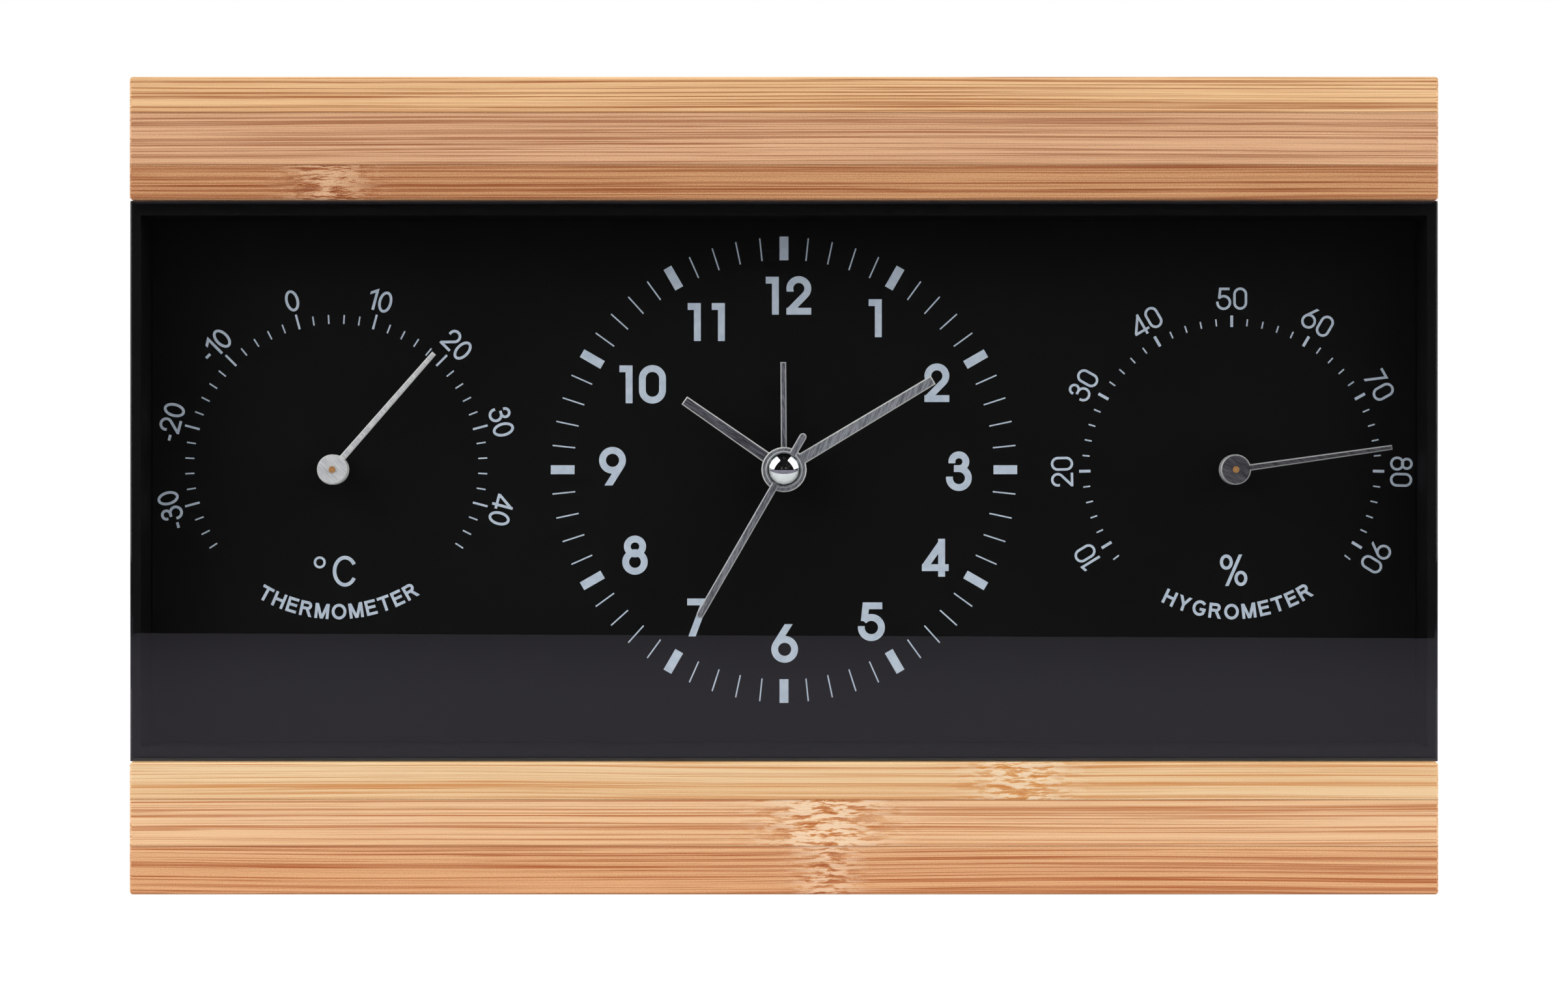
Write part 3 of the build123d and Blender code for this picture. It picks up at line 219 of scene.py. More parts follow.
class Effect(Enum):
    """Surface effects that several finishes share."""

    BRUSHED = "brushed_lines"
    SPECKS = "loose_specks"
    MOTTLE = "soft_mottle"
    FIBRES = "bamboo_fibres"
    RINGS = "turned_rings"


@dataclass
class EffectShelf:
    """Builds each shared effect once, as a group with named inputs and outputs."""

    built: dict[Effect, bpy.types.NodeTree] = field(default_factory=dict)

    def get(self, effect: Effect) -> bpy.types.NodeTree:
        """Give an effect's group, built on first use.

        Args:
            effect: The effect.

        Returns:
            The group.
        """
        if effect in self.built:
            return self.built[effect]
        maker, numbers = {
            Effect.BRUSHED: (self.brushed, {"Fineness": 9000.0}),
            Effect.SPECKS: (self.specks, {"Spacing": 260.0, "Size": 0.06}),
            Effect.MOTTLE: (self.mottle, {"Patch": 45.0, "Tooth": 4200.0}),
            Effect.FIBRES: (self.fibres, {"Seed": 0.0, "Knot X": 0.0, "Knot Width": 0.006,
                                          "Knot Strength": 1.0}),
            Effect.RINGS: (self.rings, {"Centre X": 0.0, "Centre Z": 0.0, "Pitch": 0.0001}),
        }[effect]
        tree = bpy.data.node_groups.new(effect.value, "ShaderNodeTree")
        new_socket = tree.interface.new_socket
        new_socket("Vector", in_out="INPUT", socket_type="NodeSocketVector")
        for name, value in numbers.items():
            new_socket(name, in_out="INPUT", socket_type="NodeSocketFloat").default_value = value
        g = Graph(tree)
        results = maker(g, g.given())
        for name in results:
            new_socket(name, in_out="OUTPUT", socket_type="NodeSocketFloat")
        g.add("NodeGroupOutput", results)
        self.built[effect] = tree
        return tree

    @staticmethod
    def brushed(g: Graph, given: dict[str, Wire]) -> dict[str, Wire]:
        """Draw fine lines that run along X.

        Args:
            g: The group's graph.
            given: Its inputs.

        Returns:
            Its outputs.
        """
        drawn = g.vectors("MULTIPLY", given["Vector"], (0.07, 1.0, 1.0))
        lines = g.noise(drawn, given["Fineness"], 3.0, 0.7)
        broad = g.noise(drawn, given["Fineness"] * 0.22, 2.0)
        return {"Shade": (lines * 0.65 + broad * 0.35).span(0.38, 0.62), "Height": lines}

    @staticmethod
    def specks(g: Graph, given: dict[str, Wire]) -> dict[str, Wire]:
        """Scatter small specks of dust.

        Args:
            g: The group's graph.
            given: Its inputs.

        Returns:
            Its output.
        """
        cells = g.out("ShaderNodeTexVoronoi",
                      {"Vector": given["Vector"], "Scale": given["Spacing"]}, "Distance")
        few = g.noise(given["Vector"], 90.0, 1.0)
        return {"Mask": (cells < given["Size"]) * few.span(0.55, 0.68)}

    @staticmethod
    def mottle(g: Graph, given: dict[str, Wire]) -> dict[str, Wire]:
        """Lay soft uneven patches with a fine tooth.

        Args:
            g: The group's graph.
            given: Its inputs.

        Returns:
            Its outputs.
        """
        patches = g.noise(given["Vector"], given["Patch"], 4.0, 0.55)
        return {"Value": patches.span(0.3, 0.7),
                "Height": g.noise(given["Vector"], given["Tooth"], 1.0)}

    @staticmethod
    def rings(g: Graph, given: dict[str, Wire]) -> dict[str, Wire]:
        """Turn fine rings round an axis that runs along Y.

        Args:
            g: The group's graph.
            given: Its inputs.

        Returns:
            Its output.
        """
        x, _, z = given["Vector"].parts()
        out_x, out_z = x - given["Centre X"], z - given["Centre Z"]
        reach = g.math("SQRT", out_x * out_x + out_z * out_z) / given["Pitch"]
        return {"Shade": g.noise(g.vector(reach, 0.0, 0.0), 1.0, 2.0).span(0.3, 0.7)}

    @staticmethod
    def fibres(g: Graph, given: dict[str, Wire]) -> dict[str, Wire]:
        """Draw bamboo fibres along X, with one growth knot.

        Args:
            g: The group's graph.
            given: Its inputs.

        Returns:
            Its outputs.
        """
        x, y, z = given["Vector"].parts()
        away = (x - given["Knot X"]) / given["Knot Width"]
        knot = g.math("EXPONENT", away * away * -1.0) * given["Knot Strength"]
        wobble = g.noise(g.vector(x, y, z), 300.0, 3.0)
        slow = g.noise(g.vector(x, y, z + given["Seed"]), 9.0, 1.0)
        bent = z + ((wobble - 0.5) * (knot * 0.0010) + (slow - 0.5) * 0.0016)
        seeded = g.vector(x + given["Seed"], y, bent)

        def drawn(along: float, across: float, detail: float = 2.0,
                  roughness: float = 0.5) -> Wire:
            """Draw noise out along the fibres, by its scales along and across them."""
            place = g.vectors("MULTIPLY", seeded, (along, across, across))
            return g.noise(place, 1.0, detail, roughness)

        fine, hair = drawn(5.0, 2300.0, 3.0, 0.55), drawn(14.0, 6000.0, 2.0, 0.6)
        broad, thin = drawn(5.0, 330.0, 3.0), drawn(7.0, 3700.0)
        wisp, fleck = drawn(34.0, 5200.0, 2.0, 0.7), drawn(360.0, 2500.0, 2.0, 0.6)
        faint = g.math("MAXIMUM", thin.span(0.53, 0.59) * 0.8, hair.span(0.50, 0.62) * 0.42)
        lines = g.math("MAXIMUM", fine.span(0.57, 0.60) * 0.95, faint)
        return {"Lines": lines * wisp.span(0.3, 0.6, 0.55, 1.0),
                "Tone": broad.span(0.3, 0.7) * 0.6 + wisp.span(0.35, 0.65) * 0.4,
                "Flecks": fleck.span(0.36, 0.60), "Knot": knot}


shelf = EffectShelf()


class Coat(Graph):
    """A material in the making: a graph with a shader and the object's coordinates."""

    def __init__(self, name: str, **plain: Feed) -> None:
        """Make the material with its shader.

        Args:
            name: The material's name.
            **plain: Values of the shader's own sockets, spaces written as underscores.
        """
        self.material = bpy.data.materials.new(name)
        super().__init__(empty_tree(self.material))
        sockets = {key.replace("_", " "): value for key, value in plain.items()}
        self.shader = self.add("ShaderNodeBsdfPrincipled", sockets)
        self.light = Wire(self, self.shader.outputs[0])
        self.surface = self.add("ShaderNodeOutputMaterial", {"Surface": self.light})
        self.place = self.out("ShaderNodeTexCoord", at="Object")

    def use(self, effect: Effect, **values: Feed) -> list[Wire]:
        """Place a shared effect.

        Args:
            effect: The effect.
            **values: Its inputs, spaces written as underscores.

        Returns:
            Its outputs.
        """
        feeds = {key.replace("_", " "): value for key, value in values.items()}
        node = self.add("ShaderNodeGroup", {"Vector": self.place, **feeds},
                        node_tree=shelf.get(effect))
        return [Wire(self, socket) for socket in node.outputs]

    def facing(self, axis: int) -> Wire:
        """Share of the surface's normal that lies along an axis, without its sign."""
        return abs(self.out("ShaderNodeNewGeometry", at="Normal").parts()[axis])

    def bump(self, height: Wire, strength: float, depth: float) -> None:
        """Raise the surface by a height from nought to one, with bumps of a depth."""
        self.feed(self.shader.inputs["Normal"], self.out("ShaderNodeBump", {
            "Strength": strength, "Distance": depth, "Height": height}))

    def lay(self, tint: Wire, roughness: Wire) -> bpy.types.Material:
        """Join the colour and the roughness to the shader.

        Args:
            tint: The colour.
            roughness: The roughness.

        Returns:
            The finished material.
        """
        self.feed(self.shader.inputs["Base Color"], tint)
        self.feed(self.shader.inputs["Roughness"], roughness)
        return self.material


@dataclass(frozen=True)
class Finish:
    """Base of every finish."""

    name: str

    def build(self) -> bpy.types.Material:
        """Make the material."""
        raise NotImplementedError


@dataclass(frozen=True)
class Ply:
    """One layer of a laminated rail, with its top height and the place of its knot."""

    top: float
    light: str
    line: str
    dark: str
    seed: float
    knot_x: float = 0.4
    knot_width: float = 0.006
    knot_strength: float = 0.0


@dataclass(frozen=True)
class Bamboo(Finish):
    """Laminated bamboo under a thin satin lacquer."""

    plies: tuple[Ply, ...] = ()
    fleck_light: float = 0.38
    glue: str = "6E3F1E"
    grit: str = "FBE0B8"
    end_pith: str = "C08C56"
    end_bundle: str = "7A4A26"
    seam: Point = (0.04 * MM, 0.16 * MM)
    grain_depth: float = 0.1 * MM

    def ply(self, g: Coat, ply: Ply) -> tuple[Wire, Wire]:
        """Draw one ply.

        Args:
            g: The material in the making.
            ply: The ply.

        Returns:
            Its colour and its relief.
        """
        lines, tone, flecks, knot = g.use(
            Effect.FIBRES, Seed=ply.seed, Knot_X=ply.knot_x, Knot_Width=ply.knot_width,
            Knot_Strength=ply.knot_strength)
        worn = g.blend(lines * 0.85, g.blend(tone * 0.42, ply.light, ply.line), ply.dark)
        cream = g.blend(self.fleck_light, ply.light, "FFF4E0")
        pale = g.blend(flecks.span(0.4, 0.9), ply.line, cream)
        speckled = g.blend(flecks.span(0.02, 0.36), ply.dark, pale)
        return g.blend(knot * 0.88, worn, speckled), (1.0 - lines) + knot * flecks

    def build(self) -> bpy.types.Material:
        """Make the plies from the bottom up, with a glue line between them.

        Returns:
            The material.
        """
        g = Coat(self.name, Specular_IOR_Level=0.14)
        height = g.place.parts()[2]
        colour, relief = self.ply(g, self.plies[0])
        for below, ply in zip(self.plies, self.plies[1:]):
            tint, raised = self.ply(g, ply)
            here = height > below.top
            colour = g.blend(here, colour, tint)
            relief = g.out("ShaderNodeMix", {0: here, 2: relief, 3: raised},
                           data_type="FLOAT")
            seam = abs(height - below.top).span(*self.seam, 0.5, 0.0)
            colour = g.blend(seam, colour, self.glue)
        specks = g.noise(g.place, 5200.0, 2.0, 0.7).span(0.4, 0.62, 0.0, 0.24)
        colour = g.blend(specks * relief, colour, self.grit)
        bundles = g.out("ShaderNodeTexVoronoi", {"Vector": g.place, "Scale": 1400.0},
                        "Distance")
        ends = g.blend(bundles.span(0.25, 0.45, 0.75, 0.0), self.end_pith, self.end_bundle)
        colour = g.blend((g.facing(0) > 0.8) * 0.85, colour, ends)
        g.bump(relief, 0.35, self.grain_depth)
        return g.lay(colour, relief.span(0.0, 1.0, 0.56, 0.42))


@dataclass(frozen=True)
class Plastic(Finish):
    """Moulded plastic with a fine tooth and faint patches.

    Painted shade: in front of the depth given, but not on its outer sides, it turns a dead
    black.
    """

    colour: str = "161617"
    second: str = "1C1C1E"
    roughness: float = 0.42
    tooth: float = 0.03 * MM
    dust: float = 0.0
    gloss: float = 0.45
    mask_depth: float = 0.0
    mask_half_width: float = 0.0

    def build(self) -> bpy.types.Material:
        """Make the moulded surface.

        Returns:
            The material.
        """
        g = Coat(self.name, Specular_IOR_Level=self.gloss)
        patch, tooth = g.use(Effect.MOTTLE)
        tint = g.blend(patch, self.colour, self.second)
        if self.dust:
            tint = g.blend(g.use(Effect.SPECKS)[0] * self.dust, tint, "8C8C8C")
        rough = patch.span(0.0, 1.0, self.roughness - 0.05, self.roughness + 0.06)
        # Painted shade: the recess behind the glass is coloured a dead black and made rougher.
        if self.mask_half_width:
            x, y, _ = g.place.parts()
            recess_shade = (y < self.mask_depth) * (abs(x) < self.mask_half_width)
            tint = g.blend(recess_shade, tint, "070607")
            rough = g.math("MAXIMUM", rough, recess_shade * 0.65)
        g.bump(tooth, 0.5, self.tooth)
        return g.lay(tint, rough)


@dataclass(frozen=True)
class Film(Finish):
    """Thin even layer with faint patches: dial paint, printed ink or bright plate."""

    colour: str
    second: str
    patch: float
    rough: Point
    gloss: float = 0.5
    metal: float = 0.0
    dust: float = 0.0

    def build(self) -> bpy.types.Material:
        """Make the layer.

        Returns:
            The material.
        """
        g = Coat(self.name, Specular_IOR_Level=self.gloss, Metallic=self.metal)
        patch = g.use(Effect.MOTTLE, Patch=self.patch)[0]
        tint = g.blend(patch, self.colour, self.second)
        if self.dust:
            specks = g.use(Effect.SPECKS, Spacing=300.0, Size=0.03)[0]
            tint = g.blend(specks * self.dust, tint, "5A5A60")
        return g.lay(tint, patch.span(0.0, 1.0, *self.rough))


def chrome(name: str) -> Film:
    """Finish of bright plate."""
    return Film(name, "E6E8EA", "DADDE0", 400.0, (0.03, 0.07), metal=1.0)


@dataclass(frozen=True)
class BrushedMetal(Finish):
    """Brushed sheet metal, on hands with a painted highlight: a rim coloured brighter than the
    face.
    """

    face: str
    streak: str
    # Colour of the painted highlight on the rim; empty for none.
    rim: str = ""
    turn: float = 0.0
    roughness: float = 0.34
    fineness: float = 9000.0
    metal: float = 1.0
    scratch: float = 0.02 * MM

    def build(self) -> bpy.types.Material:
        """Make the face with its lines and, where asked, the painted highlight on the rim.

        Returns:
            The material.
        """
        g = Coat(self.name, Metallic=self.metal)
        turned = g.out("ShaderNodeVectorRotate", {
            "Vector": g.place, "Axis": (0, 1, 0),
            "Angle": math.radians(90.0 - self.turn)}, rotation_type="AXIS_ANGLE")
        lines, height = g.use(Effect.BRUSHED, Vector=turned, Fineness=self.fineness)
        tint = g.blend(lines, self.face, self.streak)
        # Painted highlight: faces turned away from the front get a pale colour and less metal.
        if self.rim:
            edge = g.facing(1).span(0.8, 0.95, 1.0, 0.0)
            tint = g.blend(edge, tint, self.rim)
            g.feed(g.shader.inputs["Metallic"], edge.span(0.0, 1.0, self.metal, 0.25))
        g.bump(height, 0.25, self.scratch)
        return g.lay(tint, lines.span(0.0, 1.0, self.roughness, self.roughness + 0.1))


@dataclass(frozen=True)
class TurnedMetal(Finish):
    """Metal turned on a lathe, with fine rings round its axis."""

    colour: str = "C68F40"
    ring: str = "96652A"
    centre: Point = (0.0, 0.065)
    pitch: float = 0.1 * MM
    roughness: float = 0.28

    def build(self) -> bpy.types.Material:
        """Make the turned surface.

        Returns:
            The material.
        """
        g = Coat(self.name, Metallic=1.0)
        rings = g.use(Effect.RINGS, Centre_X=self.centre[0], Centre_Z=self.centre[1],
                      Pitch=self.pitch)[0]
        patch = g.use(Effect.MOTTLE, Patch=220.0)[0]
        tint = g.blend(rings * 0.6, self.colour, self.ring)
        tint = g.blend(patch * 0.25, tint, self.ring)
        return g.lay(tint, patch.span(0.0, 1.0, self.roughness, self.roughness + 0.12))


@dataclass(frozen=True)
class ClearGlass(Finish):
    """Clear sheet glass that lets the lamps through to what it covers."""

    def build(self) -> bpy.types.Material:
        """Make the glass.

        Returns:
            The material.
        """
        g = Coat(self.name, Base_Color="FBFDFC", Roughness=0.0, IOR=1.5,
                 Transmission_Weight=1.0)
        clear = g.out("ShaderNodeBsdfTransparent", {0: (0.96, 0.96, 0.96, 1.0)})
        shadow = g.out("ShaderNodeLightPath", at="Is Shadow Ray")
        both = g.out("ShaderNodeMixShader", {0: shadow, 1: g.light, 2: clear})
        g.feed(g.surface.inputs["Surface"], both)
        return g.material


@dataclass(frozen=True)
class WoundWire(Finish):
    """Fine lacquered wire wound in turns that follow each other along X."""

    colour: str = "B0602A"
    # Darker colour of the painted shade in the grooves between turns.
    second: str = "6E3414"
    pitch: float = 0.18 * MM
    ridge: float = 0.04 * MM

    def build(self) -> bpy.types.Material:
        """Make the turns of wire.

        Returns:
            The material.
        """
        g = Coat(self.name, Metallic=0.6)
        x = g.place.parts()[0]
        wire = g.math("SINE", x * (2 * math.pi / self.pitch)).span(-1.0, 1.0)
        patch = g.use(Effect.MOTTLE, Patch=160.0)[0]
        # Painted highlight and painted shade: lighter on the crests of the turns, darker in the
        # grooves between them.
        tint = g.blend(wire, self.second, self.colour)
        g.bump(wire, 0.4, self.ridge)
        tint = g.blend(patch * 0.3, tint, self.second)
        return g.lay(tint, patch.span(0.0, 1.0, 0.35, 0.5))


@dataclass(frozen=True)
class CellSleeve(Finish):
    """Plain sleeve of the cell: blue-grey body with a pale band near one end."""

    band: Point = (12.0 * MM, 15.5 * MM)

    def build(self) -> bpy.types.Material:
        """Make the sleeve.

        Returns:
            The material.
        """
        g = Coat(self.name, Coat_Weight=0.4)
        x = g.place.parts()[0]
        patch = g.use(Effect.MOTTLE, Patch=120.0)[0]
        tint = g.blend((x > self.band[0]) * (x < self.band[1]), "5C7688", "D8DCDC")
        return g.lay(g.blend(patch * 0.2, tint, "3E505E"), patch.span(0.0, 1.0, 0.28, 0.4))


@dataclass(frozen=True)
class BoardLaminate(Finish):
    """Circuit board laminate with copper runs under the solder mask."""

    run_pitch: float = MM / 0.42
    copper: float = 0.03 * MM

    def build(self) -> bpy.types.Material:
        """Make the board's surface.

        Returns:
            The material.
        """
        g = Coat(self.name, Coat_Weight=0.3)
        x = g.place.parts()[0]
        wander = g.noise(g.place, 260.0, 1.0)
        run = g.math("FRACT", x * (1.0 / self.run_pitch) + wander * 3.0) > 0.55
        g.bump(run, 0.4, self.copper)
        return g.lay(g.blend(run, "1E4A2B", "2F6A3C"), run.span(0.0, 1.0, 0.45, 0.32))


def make_object(name: str, verts: Sequence[Spot], faces: Sequence[Loop],
                material: bpy.types.Material, smooth: bool = False) -> bpy.types.Object:
    """Make a mesh object at the origin.

    Args:
        name: The piece's name.
        verts: Its points.
        faces: Its faces as point numbers.
        material: Its finish.
        smooth: True to shade across its faces.

    Returns:
        The linked object.
    """
    mesh = bpy.data.meshes.new(name)
    mesh.from_pydata(verts, [], faces)
    mesh.update()
    mesh.materials.append(material)
    if smooth:
        mesh.polygons.foreach_set("use_smooth", [True] * len(mesh.polygons))
    piece = bpy.data.objects.new(name, mesh)
    bpy.context.scene.collection.objects.link(piece)
    return piece


def skin(rings: Sequence[Sequence[Spot]]) -> tuple[list[Spot], list[Loop]]:
    """Join rings of points, from the front to the back, into a closed shell.

    Args:
        rings: Rings that run anticlockwise seen from the front. One point makes a tip.

    Returns:
        Points and faces.
    """
    rows: list[range] = []
    for ring in rings:
        start = rows[-1].stop if rows else 0
        rows.append(range(start, start + len(ring)))
    faces: list[Loop] = []
    for first, second in zip(rows, rows[1:]):
        sides = max(len(first), len(second))
        for step in range(sides):
            after = (step + 1) % sides
            loop = (first[step % len(first)], second[step % len(second)],
                    second[after % len(second)], first[after % len(first)])
            faces.append(tuple(dict.fromkeys(loop)))
    faces += [tuple(row)[::way] for row, way in ((rows[0], 1), (rows[-1], -1)) if len(row) > 1]
    return [spot for ring in rings for spot in ring], faces


def arc(cx: float, cy: float, rx: float, ry: float, start: float, stop: float) -> list[Point]:
    """Draw part of an ellipse.

    Args:
        cx: Its centre, across.
        cy: Its centre, upward.
        rx: Its radius across.
        ry: Its radius upward.
        start: First angle, in degrees anticlockwise from the right.
        stop: Last angle.

    Returns:
        Points along it.
    """
    steps = max(6, int(abs(stop - start) / 9))
    angles = [math.radians(start + (stop - start) * step / steps) for step in range(steps + 1)]
    return [(cx + rx * math.cos(angle), cy + ry * math.sin(angle)) for angle in angles]


def round_loop(cx: float, cy: float, rx: float, ry: float) -> list[Point]:
    """Draw a whole ellipse, ending where it starts."""
    return arc(cx, cy, rx, ry, 90.0, 450.0)


def touch_angle(spot: Point, centre: Point, radius: float) -> float:
    """Angle in degrees at which a line from a spot touches a circle, anticlockwise of it."""
    dx, dy = spot[0] - centre[0], spot[1] - centre[1]
    return math.degrees(math.atan2(dy, dx) + math.acos(radius / math.hypot(dx, dy)))


def swing(step: Point, lean: float) -> Point:
    """Turn a step clockwise by an angle in degrees."""
    cos, sin = math.cos(math.radians(lean)), math.sin(math.radians(lean))
    return step[0] * cos + step[1] * sin, step[1] * cos - step[0] * sin


def heading(first: Point, second: Point) -> Point:
    """Unit step from one point to the next.

    Args:
        first: The point it starts from.
        second: The point it goes to.

    Returns:
        The step.
    """
    dx, dy = second[0] - first[0], second[1] - first[1]
    size = math.hypot(dx, dy) or 1.0
    return dx / size, dy / size


@dataclass(frozen=True)
class Stroke:
    """Centre line of one stroke, and the way that a cut end faces if not along the line."""

    points: list[Point]
    first: Point | None = None
    last: Point | None = None

    @property
    def closed(self) -> bool:
        """Tell whether the line ends where it starts."""
        return len(self.points) > 4 and math.dist(self.points[0], self.points[-1]) < 1e-9


@dataclass(frozen=True)
class Face:
    """Style of a set of drawn figures: stroke weight and the shapes of a one and a nought."""

    weight: float
    nought: float = 0.59
    oval: bool = False
    flag: Point = (0.2, 1.0)

    @property
    def half(self) -> float:
        """Half the stroke's weight, in the units of the centre lines."""
        return self.weight / (1 - self.weight) / 2

    def figures(self) -> dict[str, tuple[list[Stroke], float]]:
        """Draw the ten figures, with heights from nought to one.

        Returns:
            The strokes of each and the width of their centre lines.
        """
        h, r = self.half, self.nought / 2
        nought = round_loop(r, 0.5, r, 0.51) if self.oval else (
            arc(r, 1.01 - r, r, r, 0.0, 180.0) + arc(r, r - 0.01, r, r, 180.0, 360.0))
        if not self.oval:
            nought.append(nought[0])
        bow, foot = 0.29, (-0.02, 0.0)
        neck = touch_angle(foot, (bow, 1.02 - bow), bow)
        bowl, tip = 0.321, (0.45, 1 + h)
        turn = math.radians(touch_angle(tip, (bowl, 0.3), bowl))
        stem = [tip, (bowl + bowl * math.cos(turn), 0.3 + bowl * math.sin(turn))]
        six = [Stroke(round_loop(bowl, 0.3, bowl, bowl)), Stroke(stem, first=UP)]
        nine = [Stroke([(2 * bowl - x, 1 - y) for x, y in line.points],
                       first=DOWN if line.first else None) for line in six]
        return {
            "0": ([Stroke(nought)], 2 * r),
            "1": ([Stroke([(-h, self.flag[1]), (self.flag[0], 1.0), (self.flag[0], -h)],
                          first=(-1.0, 0.0))], self.flag[0]),
            "2": ([Stroke(arc(bow, 1.02 - bow, bow, bow, 200.0, neck) + [foot], first=DOWN),
                   Stroke([(-h, 0.0), (2 * bow + h, 0.0)])], 2 * bow),
            "3": ([Stroke(arc(0.31, 0.82, 0.226, 0.222, 193.0, -90.0) + [(0.15, 0.6)],
                          first=DOWN),
                   Stroke([(0.15, 0.598)] + arc(0.31, 0.293, 0.305, 0.305, 90.0, -189.0),
                          last=UP)], 0.61),
            "4": ([Stroke([(0.524, -h), (0.524, 1 + h)]), Stroke([(-h, 0.18), (0.75, 0.18)]),
                   Stroke([(0.525, 0.98), (-0.02, 0.2)])], 0.66),
            "5": ([Stroke([(0.56 + h, 1.0), (0.143, 1.0), (0.09, 0.5)]),
                   Stroke(arc(0.32, 0.3, 0.325, 0.325, 140.0, -188.0), last=UP)], 0.64),
            "6": (six, 2 * bowl),
            "7": ([Stroke([(-h, 1.0), (0.52, 1.0)]),
                   Stroke([(0.5, 1 + h), (0.043, -h)], first=UP, last=DOWN)], 0.51),
            "8": ([Stroke(round_loop(0.3, 0.78, 0.247, 0.24)),
                   Stroke(round_loop(0.3, 0.28, 0.3, 0.3))], 0.6),
            "9": (nine, 2 * bowl)}

    def marks(self) -> dict[str, tuple[list[Stroke], float]]:
        """Draw the letters and the other signs, with heights from nought to one.

        Returns:
            The strokes of each and the width of their centre lines.
        """
        h = self.half
        top, spine = 1 + h, Stroke([(0.0, -h), (0.0, 1 + h)])
        bend = arc(0.46, 0.765, 0.235, 0.235, 90.0, -90.0)
        return {
            "-": ([Stroke([(-h, 0.36), (0.24, 0.36)])], 0.2),
            "C": ([Stroke(arc(0.385, 0.5, 0.385, 0.5, 30.0, 330.0))], 0.72),
            "%": ([Stroke(round_loop(0.172, 0.787, 0.172, 0.213)),
                   Stroke(round_loop(0.686, 0.213, 0.172, 0.213)),
                   Stroke([(0.19, -h), (0.672, top)], first=DOWN, last=UP)], 0.858),
            "T": ([Stroke([(-h, 1.0), (0.754 + h, 1.0)]),
                   Stroke([(0.377, 1.0), (0.377, -h)])], 0.754),
            "H": ([spine, Stroke([(0.74, -h), (0.74, top)]),
                   Stroke([(0.0, 0.53), (0.74, 0.53)])], 0.74),
            "E": ([spine, Stroke([(0.0, 0.0), (0.66 + h, 0.0)]),
                   Stroke([(0.0, 1.0), (0.64 + h, 1.0)]),
                   Stroke([(0.0, 0.53), (0.6 + h, 0.53)])], 0.66),
            "R": ([spine, Stroke([(0.0, 1.0), (0.44, 1.0)] + bend + [(0.0, 0.53)]),
                   Stroke([(0.42, 0.56), (0.8, -h)], last=DOWN)], 0.78),
            "M": ([spine, Stroke([(0.92, -h), (0.92, top)]),
                   Stroke([(0.03, top), (0.46, -h)], first=UP, last=DOWN),
                   Stroke([(0.89, top), (0.46, -h)], first=UP, last=DOWN)], 0.92),
            "O": ([Stroke(round_loop(0.48, 0.5, 0.48, 0.52))], 0.96),
            "Y": ([Stroke([(0.0, top), (0.4, 0.42)], first=UP),
                   Stroke([(0.8, top), (0.4, 0.42)], first=UP),
                   Stroke([(0.4, 0.48), (0.4, -h)])], 0.8),
            "G": ([Stroke(arc(0.47, 0.5, 0.47, 0.52, 42.0, 316.0) + [(0.86, 0.42)]),
                   Stroke([(0.48, 0.42), (0.86 + h, 0.42)])], 0.88)}


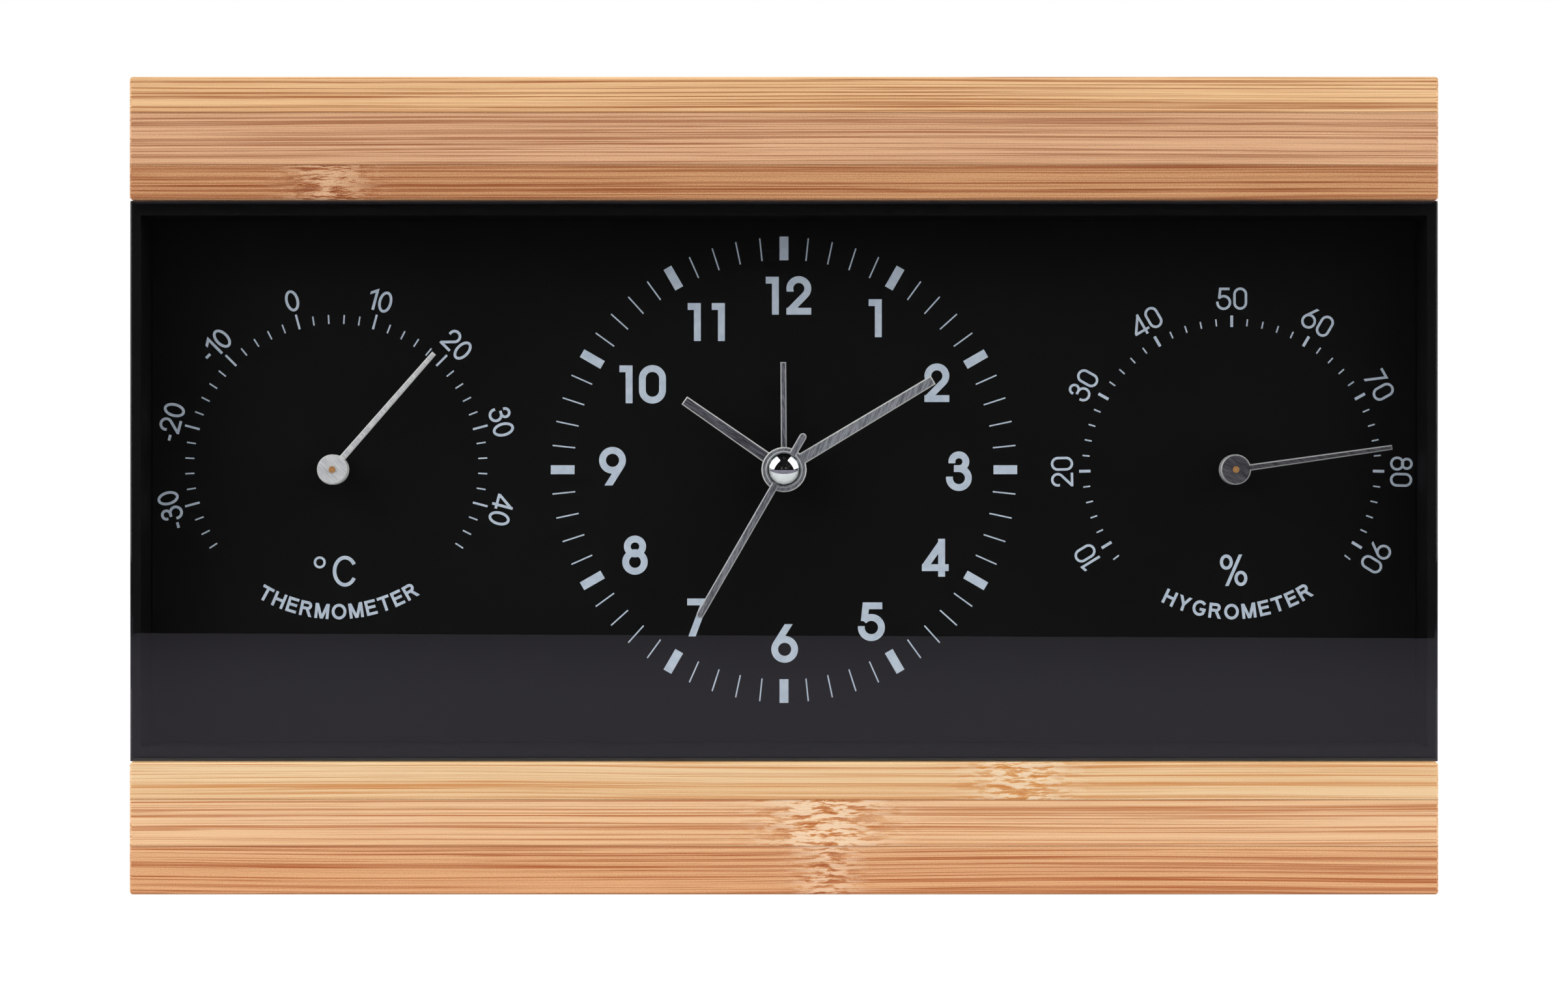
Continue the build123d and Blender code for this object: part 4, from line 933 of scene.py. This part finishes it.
@dataclass
class InkSheet:
    """Collects flat printed shapes for one thin closed mesh, each layer a hair further out."""

    ground: float
    film: float
    verts: list[Spot] = field(default_factory=list)
    faces: list[Loop] = field(default_factory=list)
    layers: int = 0
    most_layers: int = 7
    layer_step: float = 0.004 * MM
    least_mitre: float = 0.35

    def ribbon(self, stroke: Stroke, width: float) -> None:
        """Add one stroke of even width, with mitred corners.

        Args:
            stroke: Its centre line as X and Z.
            width: Its width.
        """
        self.layers += 1
        front = self.ground - self.film - (self.layers % self.most_layers) * self.layer_step
        points = stroke.points[:-1] if stroke.closed else stroke.points
        count = len(points)
        start = len(self.verts)
        for index, here in enumerate(points):
            inside = stroke.closed or 0 < index < count - 1
            after = points[(index + 1) % count]
            into = heading(points[index - 1], here) if inside or index else None
            away = heading(here, after) if inside or not index else into
            into = into or away
            cut = None if inside else (stroke.last if index else stroke.first)
            tangent = cut or heading((0.0, 0.0), (into[0] + away[0], into[1] + away[1]))
            along = tangent[0] * into[0] + tangent[1] * into[1]
            if along < 0:
                tangent = (-tangent[0], -tangent[1])
            lean = max(self.least_mitre, abs(along))
            out = (-tangent[1] * width / 2 / lean, tangent[0] * width / 2 / lean)
            self.verts += [(here[0] + side * out[0], depth, here[1] + side * out[1])
                           for side in (1, -1) for depth in (front, self.ground)]
        for index in range(count if stroke.closed else count - 1):
            a = start + 4 * index
            b = start + 4 * ((index + 1) % count)
            self.faces += [(a, b, b + 2, a + 2), (a + 1, a + 3, b + 3, b + 1),
                           (a, a + 1, b + 1, b), (a + 2, b + 2, b + 3, a + 3)]
        if not stroke.closed:
            last = start + 4 * (count - 1)
            self.faces += [(start, start + 2, start + 3, start + 1),
                           (last, last + 1, last + 3, last + 2)]

    def write(self, text: str, style: Face, height: float, middle: Point,
              lean: float = 0.0, spacing: float = 0.16) -> None:
        """Write a short text about its middle.

        Args:
            text: The figures or letters.
            style: Their face.
            height: Their full height.
            middle: X and Z of the text's middle.
            lean: Clockwise turn in degrees.
            spacing: Gap between signs as a share of the height.
        """
        weight, inner = style.weight, 1 - style.weight
        signs = {**style.figures(), **style.marks()}
        total = sum(signs[sign][1] * inner + weight + spacing for sign in text) - spacing
        cursor = 0.0
        for sign in text:
            strokes, width = signs[sign]
            for line in strokes:
                placed = []
                for u, v in line.points:
                    step = swing(((cursor + weight / 2 + u * inner - total / 2) * height,
                                  (weight / 2 + v * inner - 0.5) * height), lean)
                    placed.append((middle[0] + step[0], middle[1] + step[1]))
                if line.closed:
                    placed[-1] = placed[0]
                first, last = (end and swing(end, lean) for end in (line.first, line.last))
                self.ribbon(Stroke(placed, first, last), weight * height)
            cursor += width * inner + weight + spacing


class Mark(Enum):
    """Kinds of mark on a scale."""

    MINOR = "minor"
    MAJOR = "major"


@dataclass
class MarkRing:
    """One ring of scale marks: angles clockwise from the top, lengths in millimetres."""

    name: str
    kind: Mark
    centre: Point
    count: int
    start: float
    step: float
    radius: float
    length: float
    width: float
    skip_every: int = 0
    skip_first: int = 0

    def tree(self) -> bpy.types.NodeTree:
        """Set marks round a circle in Geometry Nodes, each turned outward.

        Returns:
            The tree, built on first use.
        """
        known = bpy.data.node_groups.get("scale_marks")
        if known:
            return known
        tree = bpy.data.node_groups.new("scale_marks", "GeometryNodeTree")
        kinds = {"Count": "Int", "Start": "Float", "Step": "Float", "Radius": "Float",
                 "Length": "Float", "Width": "Float", "Film": "Float", "Centre": "Vector",
                 "Skip Every": "Int", "Skip First": "Int", "Ink": "Material"}
        for name, kind in kinds.items():
            tree.interface.new_socket(name, in_out="INPUT", socket_type=f"NodeSocket{kind}")
        tree.interface.new_socket("Geometry", in_out="OUTPUT",
                                  socket_type="NodeSocketGeometry")
        g = Graph(tree)
        given = g.given()
        index = g.out("GeometryNodeInputIndex")
        angle = given["Start"] + index * given["Step"]
        out = g.vector(g.math("SINE", angle), 0.0, g.math("COSINE", angle))
        reach = g.out("ShaderNodeVectorMath", {0: out, "Scale": given["Radius"]},
                      operation="SCALE")
        points = g.out("GeometryNodePoints", {
            "Count": given["Count"], "Position": g.vectors("ADD", reach, given["Centre"])})
        turn = g.math("MODULO", index, g.math("MAXIMUM", given["Skip Every"], 1.0))
        skipped = g.math("COMPARE", turn, given["Skip First"], 0.5)
        left = g.out("GeometryNodeDeleteGeometry", {
            "Geometry": points, "Selection": skipped * (given["Skip Every"] > 0.5)},
            domain="POINT")
        bar = g.out("GeometryNodeMeshCube", {
            "Size": g.vector(given["Width"], given["Film"], given["Length"])})
        spot = g.out("GeometryNodeInputPosition")
        x, _, z = g.vectors("SUBTRACT", spot, given["Centre"]).parts()
        placed = g.out("GeometryNodeInstanceOnPoints", {
            "Points": left, "Instance": bar,
            "Rotation": g.vector(0.0, g.math("ARCTAN2", x, z), 0.0)})
        real = g.out("GeometryNodeRealizeInstances", {0: placed})
        dressed = g.out("GeometryNodeSetMaterial", {"Geometry": real, "Material": given["Ink"]})
        g.add("NodeGroupOutput", {0: dressed})
        return tree

    def build(self, ground: float, film: float, ink: bpy.types.Material) -> bpy.types.Object:
        """Make the marks as one plain mesh.

        Args:
            ground: Depth of the dial's face.
            film: Thickness of the ink.
            ink: The ink.

        Returns:
            The piece.
        """
        piece = make_object(f"{self.name}_{self.kind.value}_marks", [], [], ink)
        modifier = piece.modifiers.new("marks", "NODES")
        modifier.node_group = tree = self.tree()
        values = {
            "Count": self.count, "Start": math.radians(self.start),
            "Step": math.radians(self.step), "Radius": self.radius * MM,
            "Length": self.length * MM, "Width": self.width * MM, "Film": film,
            "Centre": (self.centre[0], ground - film / 2, self.centre[1]),
            "Skip Every": self.skip_every, "Skip First": self.skip_first, "Ink": ink}
        for item in tree.interface.items_tree:
            if item.item_type == "SOCKET" and item.in_out == "INPUT":
                modifier[item.identifier] = values[item.name]
        bpy.context.view_layer.update()
        shown = piece.evaluated_get(bpy.context.evaluated_depsgraph_get())
        mesh = bpy.data.meshes.new_from_object(shown)
        piece.modifiers.remove(modifier)
        piece.data = mesh
        return piece


@dataclass(frozen=True)
class Gauge:
    """What is written on one gauge, with lengths in millimetres."""

    name: str
    centre: Point
    labels: dict[str, float]
    face: Face
    radius: float
    height: float
    unit: str
    unit_face: Face
    unit_height: float
    unit_middle: Point
    word: str
    word_radius: float
    word_ends: Point
    degree: Point | None = None


@dataclass
class DialPrint:
    """Everything printed on the dial: three scales with their figures and words."""

    ground: float
    ink: bpy.types.Material
    clock: Point = (0.0, 65.0 * MM)
    thermometer: Point = (-69.7 * MM, 65.6 * MM)
    hygrometer: Point = (69.7 * MM, 65.25 * MM)
    film: float = 0.03 * MM
    hour_height: float = 5.9 * MM
    hour_face: Face = Face(0.18, 0.65)
    word_height: float = 2.36 * MM
    word_face: Face = Face(0.187)
    degree_radius: float = 0.75 * MM
    degree_line: float = 0.36 * MM

    def rings(self) -> list[MarkRing]:
        """List the six rings of marks, each field in the order of its class.

        Returns:
            The rings.
        """
        clock, warm, damp = self.clock, self.thermometer, self.hygrometer
        return [
            MarkRing("clock", Mark.MAJOR, clock, 12, 0.0, 30.0, 34.46, 3.69, 1.39),
            MarkRing("clock", Mark.MINOR, clock, 60, 0.0, 6.0, 34.46, 3.54, 0.21, 5),
            MarkRing("thermometer", Mark.MAJOR, warm, 8, -105.0, 30.0, 23.2, 2.35, 0.33),
            MarkRing("thermometer", Mark.MINOR, warm, 42, -123.0, 6.0, 22.83, 1.41, 0.22, 5, 3),
            MarkRing("hygrometer", Mark.MAJOR, damp, 9, -121.6, 30.4, 22.87, 1.77, 0.44),
            MarkRing("hygrometer", Mark.MINOR, damp, 43, -127.7, 6.08, 22.75, 1.09, 0.22, 5, 1)]

    def gauges(self) -> list[Gauge]:
        """List what is written on the two gauges.

        Returns:
            The gauges.
        """
        return [
            Gauge("thermometer", self.thermometer,
                  labels={str(t): 3.0 * (t - 5) for t in range(-30, 41, 10)},
                  face=Face(0.125, oval=True, flag=(0.27, 0.78)), radius=26.6, height=3.3,
                  unit="C", unit_face=Face(0.115), unit_height=4.8, unit_middle=(1.25, -16.4),
                  word="THERMOMETER", word_radius=22.7, word_ends=(-28.8, 30.5),
                  degree=(-2.58, -15.03)),
            Gauge("hygrometer", self.hygrometer,
                  labels={str(h): 3.04 * (h - 50) for h in range(10, 91, 10)},
                  face=Face(0.112, flag=(0.2, 0.92)), radius=26.4, height=3.4,
                  unit="%", unit_face=Face(0.1), unit_height=4.9, unit_middle=(0.3, -15.9),
                  word="HYGROMETER", word_radius=22.35, word_ends=(-25.5, 30.4))]

    def hours(self) -> InkSheet:
        """Write the hours, each at its step from the centre and with its gap.

        Returns:
            The sheet that holds them.
        """
        places = {"12": (0.7, 27.1, 0.2), "1": (14.2, 23.6, 0.1), "2": (23.8, 13.5, 0.1),
                  "3": (27.2, -0.3, 0.1), "4": (23.6, -13.7, 0.1), "5": (13.6, -23.6, 0.1),
                  "6": (0.1, -27.0, 0.1), "7": (-13.3, -23.0, 0.1),
                  "8": (-23.2, -13.3, 0.1), "9": (-26.7, 0.5, 0.1),
                  "10": (-22.0, 13.3, 0.17), "11": (-12.1, 23.0, 0.29)}
        sheet = InkSheet(self.ground, self.film)
        for text, (dx, dz, gap) in places.items():
            spot = (self.clock[0] + dx * MM, self.clock[1] + dz * MM)
            sheet.write(text, self.hour_face, self.hour_height, spot, spacing=gap)
        return sheet

    def word(self, sheet: InkSheet, gauge: Gauge) -> None:
        """Write a gauge's word along its lower arc, with the tops towards its centre.

        Args:
            sheet: The sheet that takes it.
            gauge: The gauge.
        """
        signs, face, radius = self.word_face.marks(), self.word_face, gauge.word_radius * MM
        widths = [signs[sign][1] + 2 * face.half for sign in gauge.word]
        steps = [(one + two) / 2 for one, two in zip(widths, widths[1:])]
        unit = (1 - face.weight) * self.word_height / radius
        first, last = gauge.word_ends
        gap = (math.radians(last - first) / unit - sum(steps)) / len(steps)
        angle = math.radians(first)
        for sign, step in zip(gauge.word, steps + [0.0]):
            spot = (gauge.centre[0] + radius * math.sin(angle),
                    gauge.centre[1] - radius * math.cos(angle))
            sheet.write(sign, face, self.word_height, spot, -math.degrees(angle))
            angle += (step + gap) * unit

    def scale(self, gauge: Gauge) -> InkSheet:
        """Write a gauge's figures round its scale, its unit and its word.

        Args:
            gauge: The gauge.

        Returns:
            The sheet that holds them.
        """
        sheet = InkSheet(self.ground, self.film)
        cx, cz = gauge.centre
        for text, angle in gauge.labels.items():
            out = swing((0.0, gauge.radius * MM), angle)
            sheet.write(text, gauge.face, gauge.height * MM, (cx + out[0], cz + out[1]),
                        angle, spacing=0.1)
        middle = (cx + gauge.unit_middle[0] * MM, cz + gauge.unit_middle[1] * MM)
        sheet.write(gauge.unit, gauge.unit_face, gauge.unit_height * MM, middle)
        if gauge.degree:
            radius = self.degree_radius
            ring = round_loop(cx + gauge.degree[0] * MM, cz + gauge.degree[1] * MM,
                              radius, radius)
            sheet.ribbon(Stroke(ring[:-1] + ring[:1]), self.degree_line)
        self.word(sheet, gauge)
        return sheet

    def build(self) -> None:
        """Make every printed piece."""
        pieces = [ring.build(self.ground, self.film, self.ink) for ring in self.rings()]
        sheets = {"clock": self.hours(), **{g.name: self.scale(g) for g in self.gauges()}}
        for name, sheet in sheets.items():
            pieces.append(make_object(f"{name}_figures", sheet.verts, sheet.faces, self.ink))
        for piece in pieces:
            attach(piece, "shell")
            log.info("printed %s", piece.name)


@dataclass
class CentreCap:
    """Polished dome over the hub of the second hand, made smoother than the solid."""

    segments: int = 96
    steps: int = 20
    slope: float = 47.0
    ease: float = 0.08
    back: float = 0.96

    def build(self, chrome: bpy.types.Material) -> None:
        """Make the dome in the room that its solid takes.

        Args:
            chrome: Its finish.
        """
        low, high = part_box("centre_cap")
        radius = (high[0] - low[0]) / 2
        cx, cz = (low[0] + high[0]) / 2, (low[2] + high[2]) / 2
        sweep = math.radians(self.slope)
        ball = radius / math.sin(sweep)
        profile = []
        for step in range(1, self.steps + 1):
            angle = sweep * step / self.steps
            profile.append((ball * math.sin(angle), low[1] + ball * (1 - math.cos(angle))))
        ease = (high[1] - low[1]) * self.ease
        profile += [(radius, profile[-1][1] + ease), (radius, high[1] - ease),
                    (radius * self.back, high[1])]
        turns = [2 * math.pi * side / self.segments for side in range(self.segments)]
        rings = [[(cx + reach * math.cos(turn), depth, cz + reach * math.sin(turn))
                  for turn in turns] for reach, depth in profile]
        verts, faces = skin([[(cx, low[1], cz)]] + rings + [[(cx, high[1], cz)]])
        piece = make_object("cap_dome", verts, faces, chrome, smooth=True)
        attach(piece, "second")
        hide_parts("centre_cap")
        log.info("made %s", piece.name)


@dataclass
class FrontGlass:
    """The sheet of glass with ground and polished edges, a hair clear of the housing."""

    slack: float = 0.02 * MM
    ground: float = 0.55 * MM
    arris: float = 0.15 * MM
    steps: int = 4

    def build(self, glass: bpy.types.Material) -> None:
        """Make the sheet in the room that its solid takes.

        Args:
            glass: Its finish.
        """
        low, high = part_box("front_lens")
        back = high[1] - low[1] - self.slack
        angles = [math.pi / 2 * step / self.steps for step in range(self.steps + 1)]
        rows = [(self.ground * (1 - math.sin(angle)), self.ground * (1 - math.cos(angle)))
                for angle in angles] + [(0.0, back - self.arris), (self.arris, back)]
        rings = []
        for inset, depth in rows:
            left, right, y = low[0] + inset, high[0] - inset, low[1] + depth
            foot, top = low[2] + inset, high[2] - inset
            rings.append([(left, y, foot), (right, y, foot), (right, y, top), (left, y, top)])
        verts, faces = skin(rings)
        piece = make_object("glass_sheet", verts, faces, glass)
        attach(piece, "shell")
        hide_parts("front_lens")
        log.info("made %s", piece.name)


@dataclass
class Dresser:
    """Gives each node of the frame its finish."""

    dressed: set[str] = field(default_factory=set)

    def dress(self, finish: Finish, nodes: str) -> bpy.types.Material:
        """Build a finish and set it on nodes.

        Args:
            finish: The finish.
            nodes: Names of nodes, with spaces between.

        Returns:
            The material.
        """
        material = finish.build()
        for name in nodes.split():
            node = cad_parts[name]
            if not node.material_slots:
                node.data.materials.append(material)
            for slot in node.material_slots:
                slot.material = material
            self.dressed.add(name)
            log.info("dressed %s in %s", name, finish.name)
        return material

    def dress_all(self, finishes: Iterable[tuple[Finish, str]]) -> None:
        """Build finishes and set each on its nodes."""
        for finish, nodes in finishes:
            self.dress(finish, nodes)

    def leftover(self) -> set[str]:
        """Names of nodes that have no finish yet."""
        return set(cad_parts) - self.dressed


@dataclass
class Rails:
    """The two laminated bamboo rails, by the top heights of their plies."""

    low_tops: Spot = (7.4 * MM, 14.5 * MM, 20.2 * MM)
    high_tops: Spot = (111.5 * MM, 119.5 * MM, 125.0 * MM)

    def dress(self, dresser: Dresser) -> None:
        """Lay the plies of each rail.

        Args:
            dresser: What sets the finishes.
        """
        low, high = self.low_tops, self.high_tops
        dresser.dress(Bamboo("bamboo_lower", (
            Ply(low[0], "E8B482", "C27838", "A04812", 3.1, 6.5 * MM, 4.5 * MM, 0.8),
            Ply(low[1], "F4CC9E", "D28A44", "B05A18", 7.7, 6.2 * MM, 8.5 * MM, 1.0),
            Ply(low[2], "F0D2A4", "DA984E", "C8782A", 1.3, 36.0 * MM, 7.0 * MM, 0.9))),
            "bottom_rail")
        dresser.dress(Bamboo("bamboo_upper", (
            Ply(high[0], "DAA06C", "A85C2A", "8A3C10", 5.9, -69.7 * MM, 6.0 * MM, 1.0),
            Ply(high[1], "EFBC90", "B46E3C", "904A20", 9.2),
            Ply(high[2], "FFD29A", "C4742A", "9C4A0C", 2.4)), fleck_light=0.14), "top_rail")


@dataclass
class Hands:
    """Clock hands and gauge pointers, each with its own brushing and colours made lighter or
    darker as painted light.
    """

    # Colour of the painted highlight on the rims of most hands.
    rim: str = "F2F2F0"

    def dress(self, dresser: Dresser) -> None:
        """Set a brushed finish on each hand, turned to lie along it.

        Args:
            dresser: What sets the finishes.
        """
        # Painted light: each hand's face and streak colours are lighter or darker for how the
        # lamps catch it.
        dresser.dress_all((
            (BrushedMetal("hour_hand_metal", "A2A2AC", "4A4A52", self.rim, 300.0, 0.4),
             "hour_hand"),
            (BrushedMetal("minute_hand_metal", "E2E4EC", "84868E", self.rim, 20.0, 0.42),
             "minute_hand"),
            (BrushedMetal("second_hand_metal", "D4D6DE", "6C6E76", "D0D0D2", 200.0, 0.4),
             "second_hand"),
            (BrushedMetal("alarm_hand_metal", "C0C2CA", "5E6068", "C8C8CC", 350.0, 0.4),
             "alarm_hand"),
            (BrushedMetal("warm_pointer_metal", "FFFFFF", "D6D6DC", self.rim, 135.0, 0.5,
                          5200.0, 0.55), "thermometer_pointer"),
            (BrushedMetal("cool_pointer_metal", "8A888E", "48464C", "C8C8CA", 120.0, 0.42),
             "hygrometer_pointer")))


@dataclass
class Works:
    """Gauge works and the movement behind the dial."""

    axis_height: float = 65.0 * MM
    gauge_reach: float = 69.8 * MM

    def dress(self, dresser: Dresser) -> None:
        """Set a finish on each piece of the gauges and the movement.

        Args:
            dresser: What sets the finishes.
        """
        for side, x in (("thermometer", -self.gauge_reach), ("hygrometer", self.gauge_reach)):
            axis = (x, self.axis_height)
            dresser.dress_all((
                (TurnedMetal(f"{side}_brass", centre=axis), f"{side}_frame {side}_bridge"),
                (TurnedMetal(f"{side}_pin", "F2BC80", "B87E48", axis, 0.2 * MM, 0.5),
                 f"{side}_arbor")))
        dresser.dress_all((
            (BrushedMetal("spring_strip", "A39A8C", "7E766A"),
             "bimetal_coil humidity_coil battery_contact_plus battery_contact_minus"),
            (Plastic("ivory_plastic", "E6E0D0", "DAD3C0"),
             "seconds_wheel hour_wheel centre_wheel third_wheel intermediate_wheel"
             " rotor_pinion motion_wheel time_set_shaft alarm_set_shaft"),
            (Plastic("pale_plastic", "DCDAD2", "CFCDC4", 0.3),
             "middle_plate train_bridge coil_bobbin alarm_wheel"),
            (TurnedMetal("pipe_brass", "C49E52", "8E6A2C"), "minute_pipe"),
            (BrushedMetal("magnet_grey", "4A4B4E", "34353A", roughness=0.5), "rotor_magnet"),
            (BrushedMetal("soft_iron", "8B8E92", "6A6D72"), "stator coil_core"),
            (WoundWire("coil_wire"), "coil_winding"),
            (BoardLaminate("board_laminate"), "circuit_board"),
            (BrushedMetal("crystal_can", "B4B6B8", "94969A"), "quartz_crystal"),
            (CellSleeve("cell_sleeve"), "battery")))


@dataclass
class Shell:
    """Housing, glass, dial, rear cover and the outside of the movement."""

    mask_edge: float = 0.1 * MM

    def dress(self, dresser: Dresser) -> None:
        """Set the finishes of the outer pieces.

        Args:
            dresser: What sets the finishes.
        """
        dresser.dress_all((
            # The housing's painted shade covers what lies in front of the dial plate's back, all
            # but the outer sides.
            (Plastic("housing_plastic", "151516", "1B1B1D", dust=0.1, gloss=0.12,
                     mask_depth=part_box("dial_plate")[1][1],
                     mask_half_width=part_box("housing")[1][0] - self.mask_edge), "housing"),
            (Plastic("cover_plastic", dust=0.15), "rear_cover"),
            (Plastic("case_plastic", "1B1B1D", "232326", 0.5, 0.05 * MM, dust=0.1),
             "movement_rear_case movement_front_case battery_door buzzer"),
            (Plastic("knob_plastic", "222225", "2B2B2E", 0.4),
             "time_set_knob alarm_set_knob alarm_switch"),
            (Film("dial_paint", "0C0B0C", "101011", 25.0, (0.62, 0.72), 0.08, dust=0.3),
             "dial_plate"),
            (BrushedMetal("screw_steel", "A9ABAD", "85878B", roughness=0.3),
             "rear_cover_screws rail_screws movement_screws"),
            (chrome("cap_solid_chrome"), "centre_cap")))
        FrontGlass().build(dresser.dress(ClearGlass("clear_glass"), "front_lens"))


@dataclass(frozen=True)
class Lamp:
    """One softbox: its place, its width and height, its power and its turn."""

    name: str
    spot: Spot
    size: Point
    watts: float
    roll: float = 0.0
    aim: Spot = (0.0, 0.0, 62.5 * MM)

    def hang(self) -> None:
        """Make the lamp and point it."""
        light = bpy.data.lights.new(self.name, "AREA")
        light.shape = "RECTANGLE"
        light.size, light.size_y = self.size
        light.energy = self.watts
        holder = bpy.data.objects.new(self.name, light)
        bpy.context.scene.collection.objects.link(holder)
        facing = (Vector(self.aim) - Vector(self.spot)).to_track_quat("-Z", "Y")
        holder.matrix_world = (Matrix.Translation(self.spot) @ facing.to_matrix().to_4x4()
                               @ Matrix.Rotation(math.radians(self.roll), 4, "Z"))


@dataclass
class Studio:
    """Floor, dark room in front of the glass, lamps, sky and camera."""

    edge_depth: float = -1.116
    edge_slope: float = 0.1095
    half_width: float = 3.0
    split_depth: float = -0.17
    back_depth: float = 3.0
    near_paper: Colour = (0.83, 0.8, 0.85, 1.0)
    front_paper: Colour = (0.265, 0.245, 0.30, 1.0)
    room_black: Colour = (0.012, 0.011, 0.011, 1.0)
    room_height: float = 2.4
    room_back: Point = (0.4, 2.6)
    glow: float = 1.1
    glow_share: float = 0.9
    sky_light: float = 0.4
    sensor: float = 36.0
    sight: float = 600.0 * MM
    seen_width: float = 239.6 * MM
    stand: Spot = (0.0, -0.625, 0.0613)
    lamps: tuple[Lamp, ...] = (
        Lamp("left_softbox", (-0.83, -0.44, 0.63), (0.8, 1.14), 8.45, -18.0),
        Lamp("right_softbox", (0.83, -0.44, 0.63), (0.8, 1.14), 7.9, 18.0),
        Lamp("rear_softbox", (0.0, 1.3, 1.1), (1.2, 0.8), 9.0))

    def front_edge(self, height: float) -> list[Spot]:
        """Left and right end of the floor's front edge, or the same at a height."""
        return [(x, self.edge_depth + self.edge_slope * x, height)
                for x in (-self.half_width, self.half_width)]

    def floor(self) -> None:
        """Lay a pale floor, and in front of it a greyer one that only the glass shows."""
        w, split, back = self.half_width, self.split_depth, self.back_depth
        self.sheet("floor", [(-w, split, 0.0), (w, split, 0.0), (w, back, 0.0),
                             (-w, back, 0.0)], self.near_paper, True)
        self.sheet("front_floor", self.front_edge(0.0) + [(w, split, 0.0), (-w, split, 0.0)],
                   self.front_paper, False)

    def sheet(self, name: str, verts: list[Spot], colour: Colour, through: bool) -> None:
        """Lay one sheet of floor that the camera sees white.

        Args:
            name: Its name.
            verts: Its corners.
            colour: Its colour under the lamps.
            through: True if glass shows it white as well.
        """
        material = bpy.data.materials.new(f"{name}_paper")
        g = Graph(empty_tree(material))
        seen = g.out("ShaderNodeLightPath", at="Is Camera Ray")
        if through:
            seen = g.math("MAXIMUM", seen,
                          g.out("ShaderNodeLightPath", at="Is Transmission Ray"))
        matt = g.out("ShaderNodeBsdfDiffuse", {0: colour})
        glow = g.out("ShaderNodeEmission", {0: WHITE, 1: self.glow})
        both = g.out("ShaderNodeMixShader", {0: seen * self.glow_share, 1: matt, 2: glow})
        g.add("ShaderNodeOutputMaterial", {0: both})
        make_object(name, verts, [(0, 1, 2, 3)], material)

    def dark_room(self) -> None:
        """Stand a dark screen in front, which only reflections can see."""
        (left, right), (top_left, top_right) = map(self.front_edge, (0.0, self.room_height))
        verts = [left, right, top_right, top_left, (self.half_width, *self.room_back),
                 (-self.half_width, *self.room_back)]
        black = Coat("dark_room", Base_Color=self.room_black, Roughness=1.0,
                     Specular_IOR_Level=0.0).material
        screen = make_object("dark_screen", verts, [(0, 3, 2, 1), (3, 5, 4, 2)], black)
        screen.visible_camera = False
        screen.visible_diffuse = False
        screen.visible_shadow = False

    def sky(self) -> None:
        """Show white behind the object and light it softly from all round."""
        world = bpy.data.worlds.new("studio")
        bpy.context.scene.world = world
        g = Graph(empty_tree(world))
        path = g.add("ShaderNodeLightPath")
        camera, through, gloss = (Wire(g, path.outputs[f"Is {kind} Ray"])
                                  for kind in ("Camera", "Transmission", "Glossy"))
        seen = g.math("MAXIMUM", g.math("MAXIMUM", camera, through), gloss)
        strength = seen * (1.0 - self.sky_light) + self.sky_light
        back = g.out("ShaderNodeBackground", {0: WHITE, 1: strength})
        g.add("ShaderNodeOutputWorld", {0: back})

    def camera(self) -> None:
        """Set the camera straight in front, at the height of the middle."""
        lens = bpy.data.cameras.new("camera")
        lens.sensor_width = self.sensor
        lens.lens = self.sensor * self.sight / self.seen_width
        holder = bpy.data.objects.new("camera", lens)
        bpy.context.scene.collection.objects.link(holder)
        holder.location = self.stand
        holder.rotation_euler = (math.pi / 2, 0.0, 0.0)
        bpy.context.scene.camera = holder

    def build(self) -> None:
        """Set up the whole studio."""
        self.floor()
        self.dark_room()
        for lamp in self.lamps:
            lamp.hang()
        self.sky()
        self.camera()
        bpy.context.scene.view_settings.view_transform = "Standard"


def main() -> None:
    """Build and dress the clock, then set up the studio."""
    logging.basicConfig(level=logging.INFO, format="%(name)s: %(message)s")
    dresser = Dresser()
    for assembly in (Rails(), Hands(), Works(), Shell()):
        assembly.dress(dresser)
    ink = Film("pale_ink", "DEE9F8", "CEDAEC", 900.0, (0.55, 0.7), 0.2).build()
    DialPrint(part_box("dial_plate")[0][1], ink).build()
    CentreCap().build(chrome("cap_chrome").build())
    for name in sorted(dresser.leftover()):
        log.warning("no finish on %s", name)
    Studio().build()


if __name__ == "__main__":
    main()
